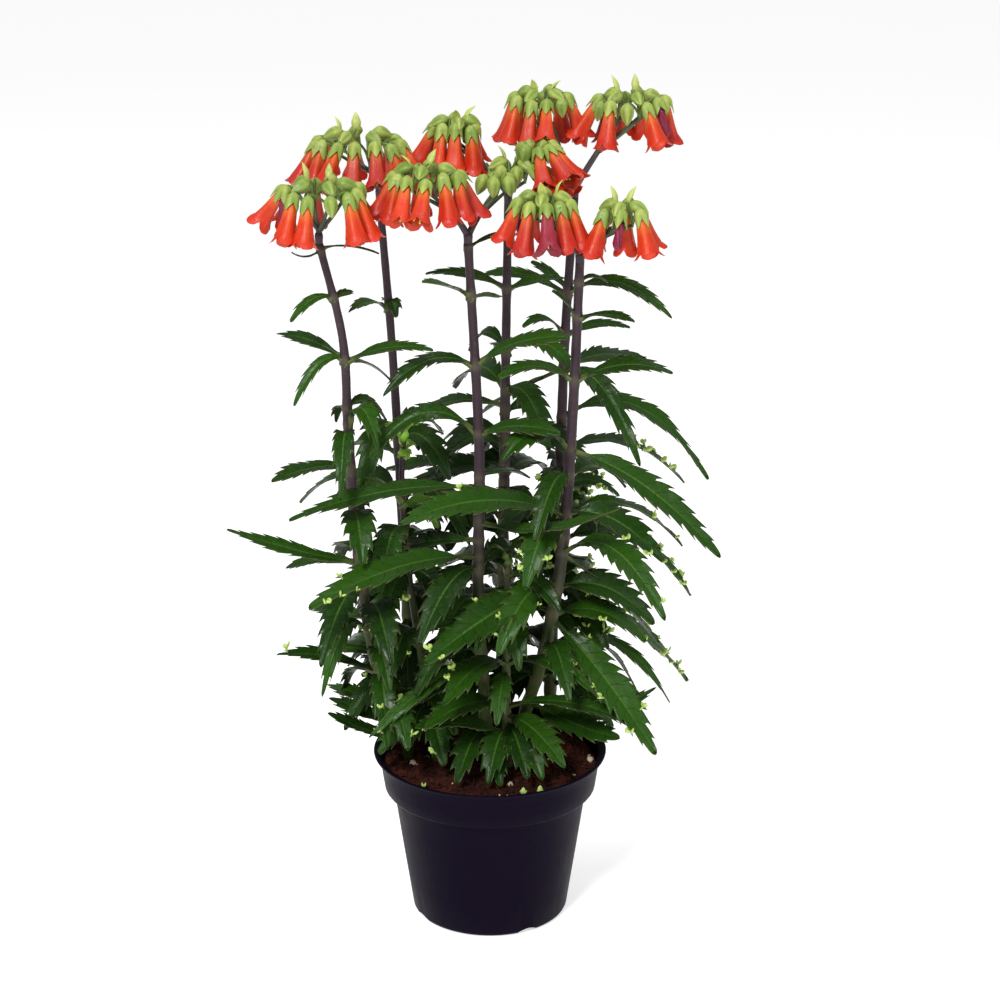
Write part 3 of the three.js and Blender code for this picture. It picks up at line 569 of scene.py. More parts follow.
def small_plant(piece, foot, outward, seed, size):
    """A short stalk with two to four round leaves."""
    outward = unit(outward + 0.5 * UP)
    turn = 180 * scatter(seed + 0.6)
    count = 2 + (scatter(seed + 0.4) > -0.3) + (scatter(seed + 0.44) > 0.4)
    tube(piece, [foot - outward, foot + outward * 1.6 * size], [0.5 * size, 0.6 * size], 6, shade=0.3)
    for i in range(count):
        way = unit(0.8 * outward + 0.75 * heading(turn + 360 * i / count))
        length = size * draw(seed + i * 0.7, 2.6, 4.2)
        across = unit(np.cross(way, outward + np.array([0.1, 0.2, 0.3])))
        upper = np.cross(across, way)
        v = np.array([0.0, 0.2, 0.45, 0.7, 0.9, 1.0])
        half = size * 1.35 * np.array([0.3, 0.62, 1.0, 0.95, 0.55, 0.1])
        start = foot + outward * 1.2 * size
        centres = start + way * (length * v)[:, None] + upper * (0.5 * length * v ** 2)[:, None] * 0.5
        a = np.arange(8) * math.pi / 4
        rings = centres[:, None] + across * (half[:, None] * np.cos(a))[..., None]
        rings = rings + upper * (0.42 * half[:, None] * np.sin(a))[..., None]
        piece.loft(rings, shade=v[:, None])


# Heads
class Flower:
    """A place for a flower: its top, the way it hangs and the directions across it."""

    def __init__(self, around, top, lean, kind, seed):
        self.around, self.top, self.kind, self.seed = around, top, kind, seed
        loose = LOOSE if lean < LOOSE_BELOW else 0
        way = heading(around + 1.6 * loose * scatter(seed + 0.51))
        tilt = math.radians(lean + loose * (0.35 + scatter(seed + 0.57)))
        self.down = way * math.sin(tilt) - UP * math.cos(tilt)
        self.side = np.cross(UP, way)
        self.over = np.cross(self.down, self.side)

    def shell(self, distance, radius, turn=0.0):
        a = ANGLES + turn
        flat = self.side * np.cos(a)[:, None] + self.over * np.sin(a)[:, None]
        return self.top + self.down * distance[..., None] + flat[None] * radius[..., None]


def profile(rows, angled):
    """Distances and radii of a skin whose section is angled."""
    rows = np.array(rows)
    return np.repeat(rows[:, :1], ROUND, 1), rows[:, 1:] * angled


def open_petals(piece, flower):
    """A tube with four rounded lobes at its mouth, and its inside."""
    seed = flower.seed
    lobe = np.abs(np.cos(2 * (ANGLES - math.pi / 4)))
    angled = 1 + 0.085 * np.cos(4 * (ANGLES - math.pi / 4))
    size = draw(seed + 0.13, 0.98, 1.10)
    outer, r_outer = profile(PETAL_OUTER, angled)
    inner, r_inner = profile(PETAL_INNER, angled)
    ragged = np.array([scatter(seed + 0.61 + k) for k in range(ROUND)])
    end = 28.4 + 4.6 * lobe ** 0.6 + 0.35 * ragged
    wide = 7.3 + (2.9 + 0.8 * scatter(seed + 0.17)) * lobe ** 0.8
    w = np.array([0.3, 0.6, 0.85, 1.0])[:, None]
    mouth = mix(MOUTH, end, w)
    r_mouth = mix(6.8, wide, w ** 1.5)
    lip = np.array([[0.99], [0.5]])
    back = mix(26.6, end, lip)
    r_back = mix(6.2, wide - 0.35, lip ** 1.5)
    distance = np.concatenate([outer, mouth, back, inner]) * size
    radius = np.concatenate([r_outer, r_mouth, r_back, r_inner])
    reach = distance / (FLOWER_LENGTH * size)
    inside = np.concatenate([np.zeros(len(outer) + 4), np.ones(2 + len(inner))])[:, None]
    piece.loft(
        flower.shell(distance, radius, 0.12 * scatter(seed + 0.21)),
        reach=reach,
        inside=inside,
        lobe=lobe[None, :],
        faded=0.8 if scatter(seed + 0.91) > 0.84 else 0.25 * max(0, scatter(seed + 0.93)),
        tone=chance(seed + 0.23),
    )


def faded_petals(piece, flower):
    """Petals that have wilted and twisted shut."""
    seed = flower.seed
    d, r = np.array(FADED_PETALS).T
    twist = d[:, None] * 0.09
    folds = 1 + 0.2 * np.cos(4 * (ANGLES + twist)) + 0.12 * np.cos(7 * ANGLES + seed)
    piece.loft(
        flower.shell(np.repeat(d[:, None], ROUND, 1), r[:, None] * folds),
        reach=(d / FLOWER_LENGTH)[:, None],
        faded=1.0,
        tone=chance(seed + 0.23),
    )


def calyx(piece, flower):
    """A closed bud, or a cup with four pointed lobes."""
    seed = flower.seed
    tone = chance(seed + 0.27)
    sepals = 1 + 0.07 * np.cos(4 * ANGLES)
    if flower.kind == "bud":
        distance, radius = profile(BUD_OUTER, sepals)
        seam = 0.16 * smooth(3, 12, distance) * (0.5 - 0.5 * np.cos(4 * ANGLES)) ** 3
        size = draw(seed + 0.29, 0.86, 1.0)
        # painted shade darkens the seams between the sepals
        seam_shade = (0.5 - 0.5 * np.cos(4 * ANGLES)) ** 3 * smooth(1.5, 5, distance)
        rings = flower.shell(distance * size, radius * (1 - seam))
        piece.loft(rings, tip=np.clip(distance / CUP_LENGTH, 0, 1), tone=tone, seam=seam_shade)
        return
    outer, r_outer = profile(CALYX_OUTER, sepals)
    near = 1 - np.abs(((ANGLES / (math.pi / 2)) + 0.5) % 1 - 0.5) * 2
    end = 5.8 + (6.2 + 0.8 * scatter(seed + 0.39)) * near ** 1.05
    spread = 4.55 + (0.75 + 0.9 * scatter(seed + 0.33)) * near
    w = np.array([0.3, 0.62, 0.88, 1.0])[:, None]
    lobes = mix(5.4, end, w)
    r_lobes = mix(4.65, spread, w) * mix(sepals, 1, w)
    back = np.array([[0.97], [0.5], [0.0]])
    inner = np.concatenate([mix(5.4, end, back), np.full((1, ROUND), 4.6)])
    r_inner = np.concatenate([mix(4.1, spread - 0.5, back), np.full((1, ROUND), 3.1)])
    distance = np.concatenate([outer, lobes, inner])
    pinched = r_outer * (1 - 0.09 * (1 - near) ** 2 * smooth(1, 5, outer))
    radius = np.concatenate([pinched, r_lobes, r_inner])
    # painted shade darkens the notches between the sepals
    seam_shade = (1 - near) ** 2 * smooth(1.5, 5, distance)
    tip = np.clip(distance / CUP_LENGTH, 0, 1)
    piece.loft(flower.shell(distance, radius), tip=tip, tone=tone, seam=seam_shade)


def anthers(piece, flower):
    """Two rings of anthers in the mouth, and the style between them."""
    for i in range(ANTHERS):
        a = 0.4 + i * 2 * math.pi / ANTHERS + 0.2 * scatter(flower.seed + i)
        distance, off = LOW_ANTHER if i % 2 else HIGH_ANTHER
        flat = flower.side * math.cos(a) + flower.over * math.sin(a)
        centre = flower.top + flower.down * distance + flat * off
        tube(piece, centre + flower.down * ANTHER_LENGTHS, ANTHER_RADII, 6)
    path = flower.top + flower.down * np.array([14.0, 22.0, 30.2])[:, None]
    tube(piece, path, [0.35, 0.35, 0.5], 5)


def bract(piece, base, turn, lean, length, half_width, tone):
    """A pointed green scale."""
    side, tilt = heading(turn + 90), math.radians(lean)
    direction = heading(turn) * math.sin(tilt) + UP * math.cos(tilt)
    over = np.cross(direction, side)
    v = np.array([-0.25, 0, 0.15, 0.35, 0.55, 0.75, 0.9, 1.0])
    half = half_width * np.array([0.35, 0.55, 0.85, 1.0, 0.85, 0.55, 0.27, 0.05])
    a = np.arange(10) * math.pi / 5
    bow = BRACT_BOW * np.sin(np.clip(v, 0, 1) * math.pi)
    centres = base + direction * (length * v)[:, None] + over * bow[:, None]
    rings = centres[:, None] + side * (half[:, None] * np.cos(a))[..., None]
    cup = 0.35 * half[:, None] * np.cos(a) ** 2
    rings = rings + over * (0.28 * half[:, None] * np.sin(a) - cup)[..., None]
    piece.loft(rings, tip=np.clip(0.35 + 0.6 * v, 0, 1)[:, None], tone=tone, bract=1.0)


def dome_flowers(middle, dome, seed):
    """The flowers and buds of a dome, and those of them that stand above the ring."""
    radius, count, lean = dome["ring"]
    face = dome.get("face", [0, 360])
    buds, above = dome.get("buds", 0), dome.get("above", 0)
    made = []

    def flower(around, distance, lift, tilt, kind, s):
        made.append(Flower(around, middle + heading(around) * distance + UP * lift, tilt, kind, s))

    for i in range(count):
        s = seed * 31 + i
        around = face[0] + face[1] * ((i + 0.5) / count - 0.5) + UNEVEN_TURN * scatter(s)
        luck = scatter(s + 0.2)
        kind = "bud" if luck > BUD_ABOVE else "faded" if luck < FADED_BELOW else "open"
        distance = radius + 1.5 * scatter(s + 0.6)
        lift = 2 * scatter(s + 0.4) - DOME_SLOPE * distance
        flower(around, distance, lift, lean + UNEVEN_LEAN * scatter(s + 0.8), kind, s)
    free = 360 - face[1] if count else 360
    for i in range(buds):
        around = face[0] + (face[1] / 2 if count else 0) + free * (i + 0.5) / buds
        distance = radius * 0.9 + scatter(seed * 43 + i)
        flower(around, distance, -DOME_SLOPE * distance, BUD_LEAN, "bud", seed * 43 + i)
    for i in range(above):
        around = face[0] + 75 + 360 * i / above + 6 * scatter(seed * 57 + i)
        flower(around, radius * ABOVE_SHARE, ABOVE_LIFT, ABOVE_LEAN, "bud", seed * 57 + i)
    return made, made[len(made) - above:]


def twigs(wood, fork, hub, dome, seed):
    """The thin branches under a dome, and their tips."""
    radius = dome["ring"][0]
    first = dome.get("face", [0, 360])[0] + 20
    count = 4 if radius > 18 else 3
    tips = []
    for k in range(count):
        way = heading(first + 360 * k / count + 14 * scatter(seed * 3 + k))
        tip = hub + way * radius * 0.5 - UP * 2.5
        bend = mix(fork, tip, 0.45) + way * radius * 0.1
        path = bezier([fork - UP * 1.5, mix(fork, bend, 0.6), bend, tip], 9)
        tube(wood, path, np.linspace(*TWIG_RADII, 9), 8, green=np.linspace(0.1, 0.8, 9))
        tips.append(tip)
    return tips


def bloom(pieces, flower, tips):
    """A flower with its stalk, which grows from the nearest tip of a twig."""
    tip = min(tips, key=lambda p: np.linalg.norm(p - flower.top))
    rise = tip + UP * 5 + heading(flower.around) * 1.5
    path = bezier([tip - UP, rise, flower.top - flower.down * 4.5, flower.top + flower.down * 0.2], 10)
    tube(pieces["calyxes"], path, np.linspace(*STALK_RADII, 10), 7, tip=0.1, tone=0.3, stalk=1.0)
    calyx(pieces["calyxes"], flower)
    if flower.kind == "open":
        open_petals(pieces["petals"], flower)
        anthers(pieces["anthers"], flower)
    elif flower.kind == "faded":
        faded_petals(pieces["petals"], flower)


def head(pieces, stem, number):
    top = np.array(stem["route"][-1], float)
    crown = top + UP * NECK
    thick = stem["radii"][1]
    wood = pieces["branches"]
    tube(wood, top + UP * COLLAR_RISE[:, None], thick * COLLAR_GIRTH, STEM_SIDES, green=0)
    for i, dome in enumerate(stem["head"]):
        seed = number * 7 + i
        turn, reach, lift = dome["at"]
        middle = crown + heading(turn) * reach + UP * lift
        hub = middle - UP * HUB_DROP
        flowers, above = dome_flowers(middle, dome, seed)
        knee = mix(crown, hub, 0.5) - heading(turn) * reach * 0.06
        fork = mix(crown, knee, 0.24) if reach < 10 else knee
        path = bezier([crown - UP * 4, crown, mix(crown, fork, 0.6), fork], 8)
        tube(wood, path, np.linspace(thick * 0.85, LIMB_END, 8), 10, green=np.linspace(0, 0.15, 8))
        tips = twigs(wood, fork, hub, dome, seed)
        for flower in flowers:
            bloom(pieces, flower, tips)
        for k, flower in enumerate(above[:BRACTS]):
            s = seed * 5 + k
            around, lean = flower.around + 25 * scatter(s + 0.1), 34 + 14 * scatter(s + 0.3)
            length, half_width = draw(s + 0.6, *BRACT_LENGTH), draw(s + 0.8, *BRACT_HALF_WIDTH)
            bract(pieces["calyxes"], flower.top, around, lean, length, half_width, chance(s))


# Pot and soil
def lathe(piece, rows, sides, shape=None, **marks):
    """A skin turned from rows of [radius, height]."""
    a = np.arange(sides) * 2 * math.pi / sides
    r, z = np.array(rows, float).T
    r = np.maximum(r, 0.02)
    points = np.stack([r[:, None] * np.cos(a), r[:, None] * np.sin(a), np.repeat(z[:, None], sides, 1)], -1)
    piece.loft(points if shape is None else shape(points), **marks)


def make_pot(material):
    piece = Piece()
    lathe(piece, POT_PROFILE, POT_SIDES)
    pot = piece.make("nursery_pot", material, "pot", "pot")
    cutters = []
    for i in range(DRAIN["count"]):
        turn = math.radians(DRAIN["first_turn"] + 360 * i / DRAIN["count"])
        middle = Vector((math.cos(turn), math.sin(turn), 0)) * DRAIN["from_middle"]
        middle.z = -DRAIN["drop"]
        bpy.ops.mesh.primitive_cylinder_add(
            vertices=48,
            radius=DRAIN["radius"] * MM,
            depth=DRAIN["reach"] * MM,
        )
        cutter = bpy.context.object
        cutter.location = middle * MM
        cutter.rotation_euler = (0, math.pi / 2, turn)
        cutters.append(cutter)
        cut = pot.modifiers.new("drain", "BOOLEAN")
        cut.operation, cut.solver, cut.object = "DIFFERENCE", "EXACT", cutter
    bpy.context.view_layer.update()
    shaped = bpy.data.meshes.new_from_object(pot.evaluated_get(bpy.context.evaluated_depsgraph_get()))
    pot.modifiers.clear()
    pot.data = shaped
    for cutter in cutters:
        bpy.data.objects.remove(cutter)
    shaped.polygons.foreach_set("use_smooth", [True] * len(shaped.polygons))
    shaped.set_sharp_from_angle(angle=math.radians(POT_EDGE_ANGLE))


def ground(x, y):
    """The height of the soil at a place."""
    r = math.hypot(x, y)
    lumps = sum(high * noise.noise(Vector((x * often, y * often, at))) for high, often, at in SOIL_LUMPS)
    return SOIL_TOP + SOIL_HEAP - r / 40 + lumps * min(1, (SOIL_EDGE + 1 - r) / 4)


def crumb(piece, i):
    r = (SOIL_EDGE - 2.5) * math.sqrt((i + 0.5) / CRUMBS)
    a = math.radians(GOLDEN_TURN * i + 6 * scatter(i))
    x, y = r * math.cos(a), r * math.sin(a)
    size = 0.6 + 2.2 * chance(i + 0.3) ** 2.6
    spin = np.arange(CRUMB_SIDES) * 2 * math.pi / CRUMB_SIDES
    rough = [
        [1 + 0.3 * scatter(i * 3 + k * 0.7 + j * 0.11) for k in range(CRUMB_SIDES)]
        for j in range(len(CRUMB_LEVELS))
    ]
    radius = CRUMB_GIRTH[:, None] * np.array(rough) * size
    tilt = unit(np.array([scatter(i + 0.61), scatter(i + 0.67), 1.2]))
    across = unit(np.cross(tilt, [0.3, 1, 0.2]))
    over = np.cross(tilt, across)
    flat = across * np.cos(spin)[:, None] + over * np.sin(spin)[:, None]
    middle = np.array([x, y, ground(x, y) + 0.25 * size])
    levels = middle + tilt * (CRUMB_LEVELS * size * 0.75)[:, None, None]
    pale = 1.0 if scatter(i + 0.5) > 0.9 else 0.0
    piece.loft(levels + flat[None] * radius[..., None], pale=pale, tone=chance(i + 0.71))


def fibre(piece, i):
    """A bent root or straw that lies on the soil."""
    r = (SOIL_EDGE - 6) * math.sqrt(chance(i + 0.37))
    a = math.radians(180 * scatter(i + 0.53))
    x, y = r * math.cos(a), r * math.sin(a)
    way = heading(180 * scatter(i + 0.83))
    bend = heading(180 * scatter(i + 0.87)) * 3
    length = draw(i + 0.91, *FIBRE_LENGTH)
    path = []
    for t in np.linspace(-0.5, 0.5, 7):
        p = np.array([x, y, 0]) + way * length * t + bend * (0.25 - t * t) * 2
        reach = math.hypot(p[0], p[1])
        if reach > SOIL_EDGE - 2:
            p[:2] *= (SOIL_EDGE - 2) / reach
        p[2] = ground(p[0], p[1]) + 0.5 + draw(i + 0.95, 0, 1.6) * (0.5 + math.sin(3.1 * t + i))
        path.append(p)
    tube(piece, path, draw(i + 0.97, *FIBRE_RADIUS), 5, tone=draw(i + 0.99, 0.5, 1))


def make_soil(material):
    fill, crumbs = Piece("pale", "tone"), Piece("pale", "tone")
    walls = SOIL_WALLS + [(SOIL_EDGE, SOIL_TOP - 0.5)]
    tops = [(r, 0) for r in np.linspace(SOIL_EDGE - 0.6, 0, SOIL_ROWS)]

    def shape(points):
        for row in points[len(walls):]:
            for p in row:
                p[2] = ground(p[0], p[1])
        return points

    lathe(fill, walls + tops, SOIL_SIDES, shape, tone=0.4)
    fill.make("soil_fill", material, "soil", "soil")
    for i in range(CRUMBS):
        crumb(crumbs, i)
    for i in range(FIBRES):
        fibre(crumbs, i)
    crumbs.make("soil_crumbs", material, "soil")


def seedlings(piece):
    for i, (x, y) in enumerate(SEEDLINGS):
        foot = np.array([x, y, ground(x, y) + 0.5])
        small_plant(piece, foot, UP, 900 + i, draw(i + 0.2, *SEEDLING_SIZE))


# Materials
class Paint:
    """A material's node tree, built up with short calls."""

    def __init__(self, name):
        self.material = bpy.data.materials.new(name)
        self.material.use_nodes = True
        self.tree = self.material.node_tree
        self.shader = self.tree.nodes["Principled BSDF"]
        self.place = self.node("ShaderNodeTexCoord").outputs["Object"]

    def node(self, kind, **settings):
        made = self.tree.nodes.new(kind)
        for key, value in settings.items():
            setattr(made, key, value)
        return made

    def put(self, socket, value):
        if isinstance(value, bpy.types.NodeSocket):
            self.tree.links.new(value, socket)
        elif isinstance(value, tuple) and len(value) == 3 and socket.type == "RGBA":
            socket.default_value = (*value, 1)
        else:
            socket.default_value = value

    def math(self, operation, *values):
        made = self.node("ShaderNodeMath", operation=operation)
        for socket, value in zip(made.inputs, values):
            self.put(socket, value)
        return made.outputs[0]

    def mark(self, name):
        return self.node("ShaderNodeAttribute", attribute_name=name).outputs["Fac"]

    def noise(self, scale, detail=4.0, rough=0.55, stretch=None):
        made = self.node("ShaderNodeTexNoise")
        made.inputs["Scale"].default_value = scale
        made.inputs["Detail"].default_value = detail
        made.inputs["Roughness"].default_value = rough
        place = self.place
        if stretch:
            mapping = self.node("ShaderNodeMapping")
            mapping.inputs["Scale"].default_value = stretch
            self.put(mapping.inputs["Vector"], place)
            place = mapping.outputs[0]
        self.put(made.inputs["Vector"], place)
        return made.outputs["Fac"]

    def cells(self, scale):
        made = self.node("ShaderNodeTexVoronoi")
        made.inputs["Scale"].default_value = scale
        self.put(made.inputs["Vector"], self.place)
        return made.outputs["Distance"]

    def band(self, value, low, high, to_low=0.0, to_high=1.0):
        """Maps low to high onto 0 to 1 smoothly."""
        made = self.node("ShaderNodeMapRange", interpolation_type="SMOOTHSTEP")
        for socket, number in zip(made.inputs, (value, low, high, to_low, to_high)):
            self.put(socket, number)
        return made.outputs[0]

    def blend(self, share, a, b):
        made = self.node("ShaderNodeMix", data_type="RGBA")
        self.put(made.inputs[0], share)
        self.put(made.inputs[6], a)
        self.put(made.inputs[7], b)
        return made.outputs[2]

    def coats(self, colour, *coats):
        """Lays colours over a first one, each with its share."""
        for share, over in coats:
            colour = self.blend(share, colour, over)
        return colour

    def times(self, *values):
        made = values[0]
        for value in values[1:]:
            made = self.math("MULTIPLY", made, value)
        return made

    def plus(self, a, b):
        return self.math("ADD", a, b)

    def weigh(self, a, share_a, b, share_b):
        return self.plus(self.times(a, share_a), self.times(b, share_b))

    def bump(self, height, distance):
        made = self.node("ShaderNodeBump")
        made.inputs["Distance"].default_value = distance
        made.inputs["Strength"].default_value = 1.0
        self.put(made.inputs["Height"], height)
        return made.outputs[0]

    def finish(self, colour, rough, normal, **fixed):
        self.put(self.shader.inputs["Base Color"], colour)
        self.put(self.shader.inputs["Roughness"], rough)
        self.put(self.shader.inputs["Normal"], normal)
        for name, value in fixed.items():
            self.put(self.shader.inputs[name.replace("_", " ")], value)
        return self.material


def leaf_material():
    p = Paint("waxy_leaf")
    across = p.math("ABSOLUTE", p.mark("across"))
    along, under, tone = p.mark("along"), p.mark("under"), p.mark("tone")
    broad, fine = p.noise(38, 5), p.noise(420, 3)
    line = p.math("PINGPONG", p.mark("vein"), 0.5)
    vein = p.times(p.band(line, 0.47, 0.5), p.band(across, 0.95, 0.7), p.band(along, 0.1, 0.2))
    rib = p.band(across, 0.10, 0.03)
    spots = p.times(p.band(p.noise(260, 2, 0.4), 0.60, 0.66), p.band(across, 0.25, 0.75, 0.1, 1))
    edge = p.band(across, 0.90, 1.0)
    stalk = p.band(along, 0.16, 0.07)
    colour = p.coats(
        p.blend(p.weigh(tone, 0.75, broad, 0.3), (0.005, 0.024, 0.002), (0.026, 0.095, 0.004)),
        (p.band(fine, 0.45, 0.75, 0, 0.3), (0.038, 0.125, 0.008)),
        (p.times(vein, 0.28), (0.05, 0.15, 0.015)),
        (p.times(rib, p.band(along, 1.0, 0.5, 0.15, 0.75)), (0.075, 0.17, 0.022)),
        # the underside's own purple-brown colour, darkened further as painted shade
        (p.times(under, 0.8), p.blend(broad, (0.014, 0.026, 0.010), (0.028, 0.046, 0.018))),
        (p.times(spots, p.plus(p.times(under, 0.5), 0.45)), (0.028, 0.018, 0.022)),
        (p.times(edge, p.band(broad, 0.35, 0.65, 0.2, 0.75)), (0.10, 0.085, 0.03)),
        (p.times(stalk, 0.8), p.blend(fine, (0.10, 0.10, 0.04), (0.13, 0.19, 0.05))),
        (p.times(p.mark("youth"), 0.9), p.blend(broad, (0.16, 0.42, 0.03), (0.34, 0.62, 0.05))),
        # painted shade darkens the leaves near the middle of the plant
        (p.times(p.mark("inner"), 0.8), (0.0025, 0.007, 0.0015)),
    )
    height = p.math("SUBTRACT", p.times(fine, 0.25), p.times(vein, 0.8))
    normal = p.bump(p.plus(height, p.times(broad, 1.2)), 0.0006)
    return p.finish(colour, p.band(broad, 0.3, 0.75, 0.28, 0.44), normal, Specular_IOR_Level=0.22)


def stem_material():
    p = Paint("stem_skin")
    streaks, mottle = p.noise(60, 5, 0.6, (1, 1, 0.12)), p.noise(210, 4)
    purple = p.coats(
        p.blend(streaks, (0.020, 0.010, 0.015), (0.050, 0.030, 0.038)),
        (p.band(mottle, 0.55, 0.75, 0, 0.4), (0.075, 0.06, 0.08)),
    )
    olive = p.blend(streaks, (0.026, 0.044, 0.007), (0.070, 0.105, 0.018))
    colour = p.coats(
        p.blend(p.band(p.mark("height"), 330, 170), purple, olive),
        (p.times(p.mark("joint"), 0.6), (0.10, 0.085, 0.05)),
    )
    normal = p.bump(p.plus(streaks, p.times(mottle, 0.5)), 0.0005)
    return p.finish(colour, p.band(mottle, 0.3, 0.7, 0.42, 0.6), normal, Specular_IOR_Level=0.22)


def branch_material():
    p = Paint("flower_branch")
    mottle = p.noise(260, 4)
    dark = p.blend(mottle, (0.020, 0.012, 0.020), (0.055, 0.035, 0.045))
    green = p.blend(mottle, (0.05, 0.09, 0.02), (0.10, 0.17, 0.04))
    colour = p.blend(p.times(p.mark("green"), 0.85), dark, green)
    return p.finish(colour, 0.5, p.bump(mottle, 0.0004), Specular_IOR_Level=0.4)


def calyx_material():
    p = Paint("green_calyx")
    broad, fine = p.noise(130, 4), p.noise(700, 3)
    colour = p.coats(
        p.blend(p.weigh(p.mark("tone"), 0.6, broad, 0.4), (0.16, 0.26, 0.035), (0.40, 0.46, 0.10)),
        (p.band(p.mark("tip"), 0.55, 1.0, 0, 0.5), (0.45, 0.54, 0.15)),
        (p.times(p.mark("bract"), 0.6), (0.56, 0.62, 0.17)),
        # painted shade in the seams and notches between the sepals
        (p.times(p.mark("seam"), 0.75), (0.10, 0.20, 0.03)),
        (p.times(p.mark("stalk"), 0.7), (0.05, 0.11, 0.02)),
        (p.band(fine, 0.6, 0.8, 0, 0.5), (0.10, 0.22, 0.05)),
        (p.times(p.band(p.noise(330, 2), 0.66, 0.74), 0.5), (0.16, 0.05, 0.06)),
    )
    return p.finish(
        colour,
        p.band(broad, 0.3, 0.7, 0.38, 0.5),
        p.bump(p.plus(broad, p.times(fine, 0.4)), 0.0004),
        Specular_IOR_Level=0.4,
        Subsurface_Weight=0.1,
        Subsurface_Radius=(0.003, 0.004, 0.001),
    )


def petal_material():
    p = Paint("satin_petal")
    reach = p.mark("reach")
    streaks, broad = p.noise(900, 3, 0.6, (1, 1, 0.1)), p.noise(150, 4)
    colour = p.coats(
        p.blend(p.weigh(p.mark("tone"), 0.6, broad, 0.4), (0.42, 0.010, 0.005), (0.66, 0.040, 0.007)),
        (p.band(reach, 0.55, 0.28, 0, 0.65), (0.70, 0.19, 0.03)),
        (p.times(p.mark("lobe"), p.band(reach, 0.45, 0.9, 0.4, 0.05)), (0.70, 0.11, 0.015)),
        (p.times(p.mark("inside"), p.band(reach, 0.95, 0.6, 0.15, 0.7)), (0.55, 0.10, 0.012)),
        (p.band(streaks, 0.5, 0.8, 0, 0.35), (0.55, 0.012, 0.010)),
        # a painted highlight lightens the tips and rims of the lobes
        (p.band(reach, 0.97, 1.03, 0, 0.3), (0.85, 0.17, 0.05)),
        (p.mark("faded"), p.blend(streaks, (0.10, 0.005, 0.022), (0.30, 0.02, 0.06))),
    )
    return p.finish(
        colour,
        p.band(broad, 0.3, 0.7, 0.32, 0.48),
        p.bump(p.plus(streaks, p.times(broad, 0.7)), 0.0003),
        Specular_IOR_Level=0.35,
        Subsurface_Weight=0.1,
        Subsurface_Radius=(0.004, 0.001, 0.0005),
    )


def anther_material():
    p = Paint("anther")
    grain = p.noise(1500, 2)
    return p.finish(p.blend(grain, (0.75, 0.45, 0.05), (0.95, 0.72, 0.16)), 0.6, p.bump(grain, 0.0002))


def plantlet_material():
    p = Paint("plantlet")
    broad = p.noise(240, 3)
    share = p.weigh(p.mark("shade"), 0.6, broad, 0.4)
    colour = p.blend(share, (0.20, 0.38, 0.05), (0.55, 0.70, 0.18))
    return p.finish(colour, 0.42, p.bump(broad, 0.0003), Specular_IOR_Level=0.5)


def soil_material():
    p = Paint("peat")
    clumps, grains, fine = p.noise(90, 6, 0.65), p.cells(420), p.noise(900, 3)
    share = p.weigh(p.band(clumps, 0.38, 0.68), 0.6, p.mark("tone"), 0.4)
    colour = p.coats(
        p.blend(share, (0.004, 0.0015, 0.0012), (0.100, 0.020, 0.009)),
        (p.band(grains, 0.5, 0.1, 0, 0.5), (0.055, 0.013, 0.007)),
        (p.band(fine, 0.6, 0.8, 0, 0.4), (0.20, 0.06, 0.028)),
        (p.mark("pale"), p.blend(fine, (0.55, 0.42, 0.26), (0.75, 0.66, 0.48))),
    )
    relief = p.math("SUBTRACT", p.times(fine, 0.5), p.times(grains, 0.8))
    normal = p.bump(p.plus(p.times(clumps, 1.2), relief), 0.0012)
    return p.finish(colour, 0.9, normal, Specular_IOR_Level=0.2)


def pot_material():
    p = Paint("black_plastic")
    grain, flow, dust = p.noise(1400, 3), p.noise(34, 4, 0.6, (1, 1, 0.18)), p.noise(24, 6, 0.7)
    colour = p.coats(
        p.blend(flow, (0.0028, 0.0010, 0.0066), (0.0048, 0.0020, 0.0100)),
        (p.band(dust, 0.62, 0.85, 0, 0.1), (0.04, 0.034, 0.042)),
    )
    normal = p.bump(p.plus(grain, p.times(flow, 2.5)), 0.0002)
    rough = p.plus(p.band(flow, 0.3, 0.7, 0.34, 0.46), p.band(dust, 0.5, 0.8, 0, 0.14))
    return p.finish(colour, rough, normal, Specular_IOR_Level=0.03)


def floor_material():
    p = Paint("pale_floor")
    colour = p.blend(p.noise(3, 3), (0.90, 0.90, 0.90), (0.93, 0.93, 0.93))
    glow = {"Emission_Color": (1.0, 1.0, 1.0), "Emission_Strength": 0.6}
    return p.finish(colour, 0.75, p.bump(p.noise(120, 2), 0.0001), **glow)


# The plant
skin = {
    "leaf": leaf_material(),
    "stem": stem_material(),
    "branch": branch_material(),
    "calyx": calyx_material(),
    "petal": petal_material(),
    "anther": anther_material(),
    "plantlet": plantlet_material(),
}


def youth_of(stem, height):
    """How bright and young a leaf is, from 0 to 1."""
    if "young_above" not in stem:
        return 0.0
    return float(smooth(stem["young_above"], stem["young_above"] + YOUTH_SPAN, height))


def make_leafy_stem(stem, number):
    name, slot = stem["name"], f"leafy_stem_{stem['name']}"
    sink = 0.35 * sum(stem["radii"])
    leaves = leaves_of(stem, number)
    stalk = Piece("height", "joint")
    top = stem["route"][-1][2]
    heights = sorted({*np.arange(STEM_FOOT, top - 1, STEM_STEP).tolist(), top})
    stem_skin(stalk, stem, heights, leaves)
    stalk.make(f"stem_{name}", skin["stem"], slot, slot)
    # inner carries the painted shade at the middle of the plant
    blades = Piece("across", "along", "vein", "under", "tone", "youth", "inner")
    young_plants = Piece("shade")
    lowest, highest, share = PLANTLETS[name]
    for i, leaf in enumerate(leaves):
        seed = number * 40 + i
        base = stem_at(stem["route"], leaf[0])
        blade = leaf_skin(blades, base, sink, leaf, seed, youth_of(stem, leaf[0]))
        if lowest < leaf[0] < highest:
            plantlets(young_plants, blade, share, seed)
    blades.make(f"leaves_{name}", skin["leaf"], slot)
    if name == "young_front":
        seedlings(young_plants)
    if young_plants.count:
        young_plants.make(f"plantlets_{name}", skin["plantlet"], slot)


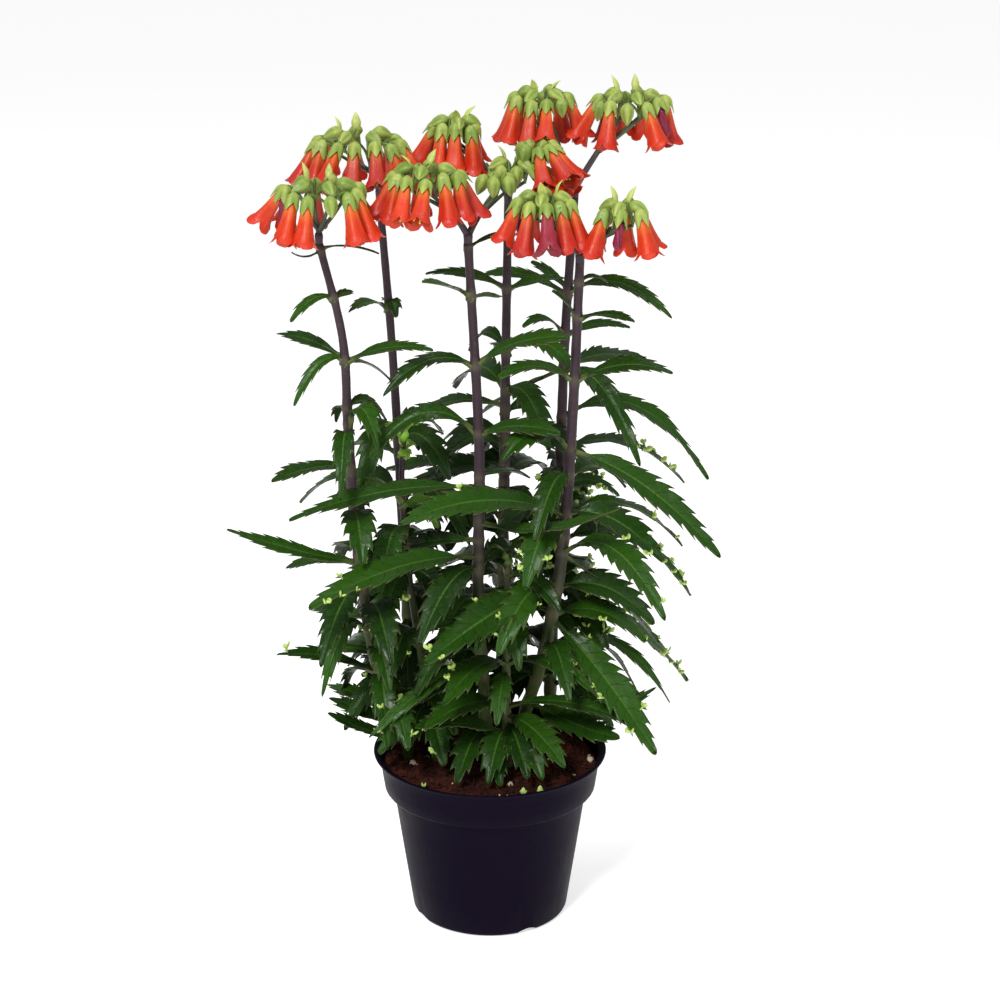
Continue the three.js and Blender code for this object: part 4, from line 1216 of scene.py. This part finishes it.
def make_head(stem, number):
    name, slot = stem["name"], f"flower_head_{stem['name']}"
    pieces = {
        "branches": Piece("green"),
        "calyxes": Piece("tip", "tone", "bract", "stalk", "seam"),
        "petals": Piece("reach", "inside", "lobe", "faded", "tone"),
        "anthers": Piece(),
    }
    head(pieces, stem, number)
    pieces["branches"].make(f"branches_{name}", skin["branch"], slot)
    pieces["calyxes"].make(f"calyxes_{name}", skin["calyx"], slot)
    pieces["petals"].make(f"petals_{name}", skin["petal"], slot, slot)
    pieces["anthers"].make(f"anthers_{name}", skin["anther"], slot)


for number, stem in enumerate(STEMS):
    make_leafy_stem(stem, number)
    if "head" in stem:
        make_head(stem, number)
make_soil(soil_material())
make_pot(pot_material())

# Stage: a pale floor, soft light from above and in front, and the photograph's viewpoint
bpy.ops.mesh.primitive_plane_add(size=30)
floor = bpy.context.object
floor.name = "floor"
floor.data.materials.append(floor_material())

world = bpy.data.worlds.new("studio")
world.use_nodes = True
backdrop = world.node_tree.nodes["Background"].inputs
backdrop["Color"].default_value = (1, 1, 1, 1)
backdrop["Strength"].default_value = 0.36
bpy.context.scene.world = world
bpy.context.scene.view_settings.view_transform = "Standard"


def lamp(name, place, size, power):
    light = bpy.data.lights.new(name, "AREA")
    light.shape, light.size, light.energy = "DISK", size, power
    thing = bpy.data.objects.new(name, light)
    thing.location = place
    thing.rotation_euler = (Vector((0, 0, 0.3)) - Vector(place)).to_track_quat("-Z", "Y").to_euler()
    bpy.context.scene.collection.objects.link(thing)


lamp("key", (-0.7, -1.8, 2.0), 0.6, 48)
lamp("fill", (1.6, -1.5, 1.2), 1.2, 8)
lamp("top", (0.1, 0.2, 2.2), 0.7, 10)

view = bpy.data.cameras.new("photo_view")
view.sensor_width, view.lens = 36, 87.98
camera = bpy.data.objects.new("photo_view", view)
camera.location = (0.0074, -1.64, 0.865)
camera.rotation_euler = (math.radians(90 - 18.5), 0, 0)
bpy.context.scene.collection.objects.link(camera)
bpy.context.scene.camera = camera
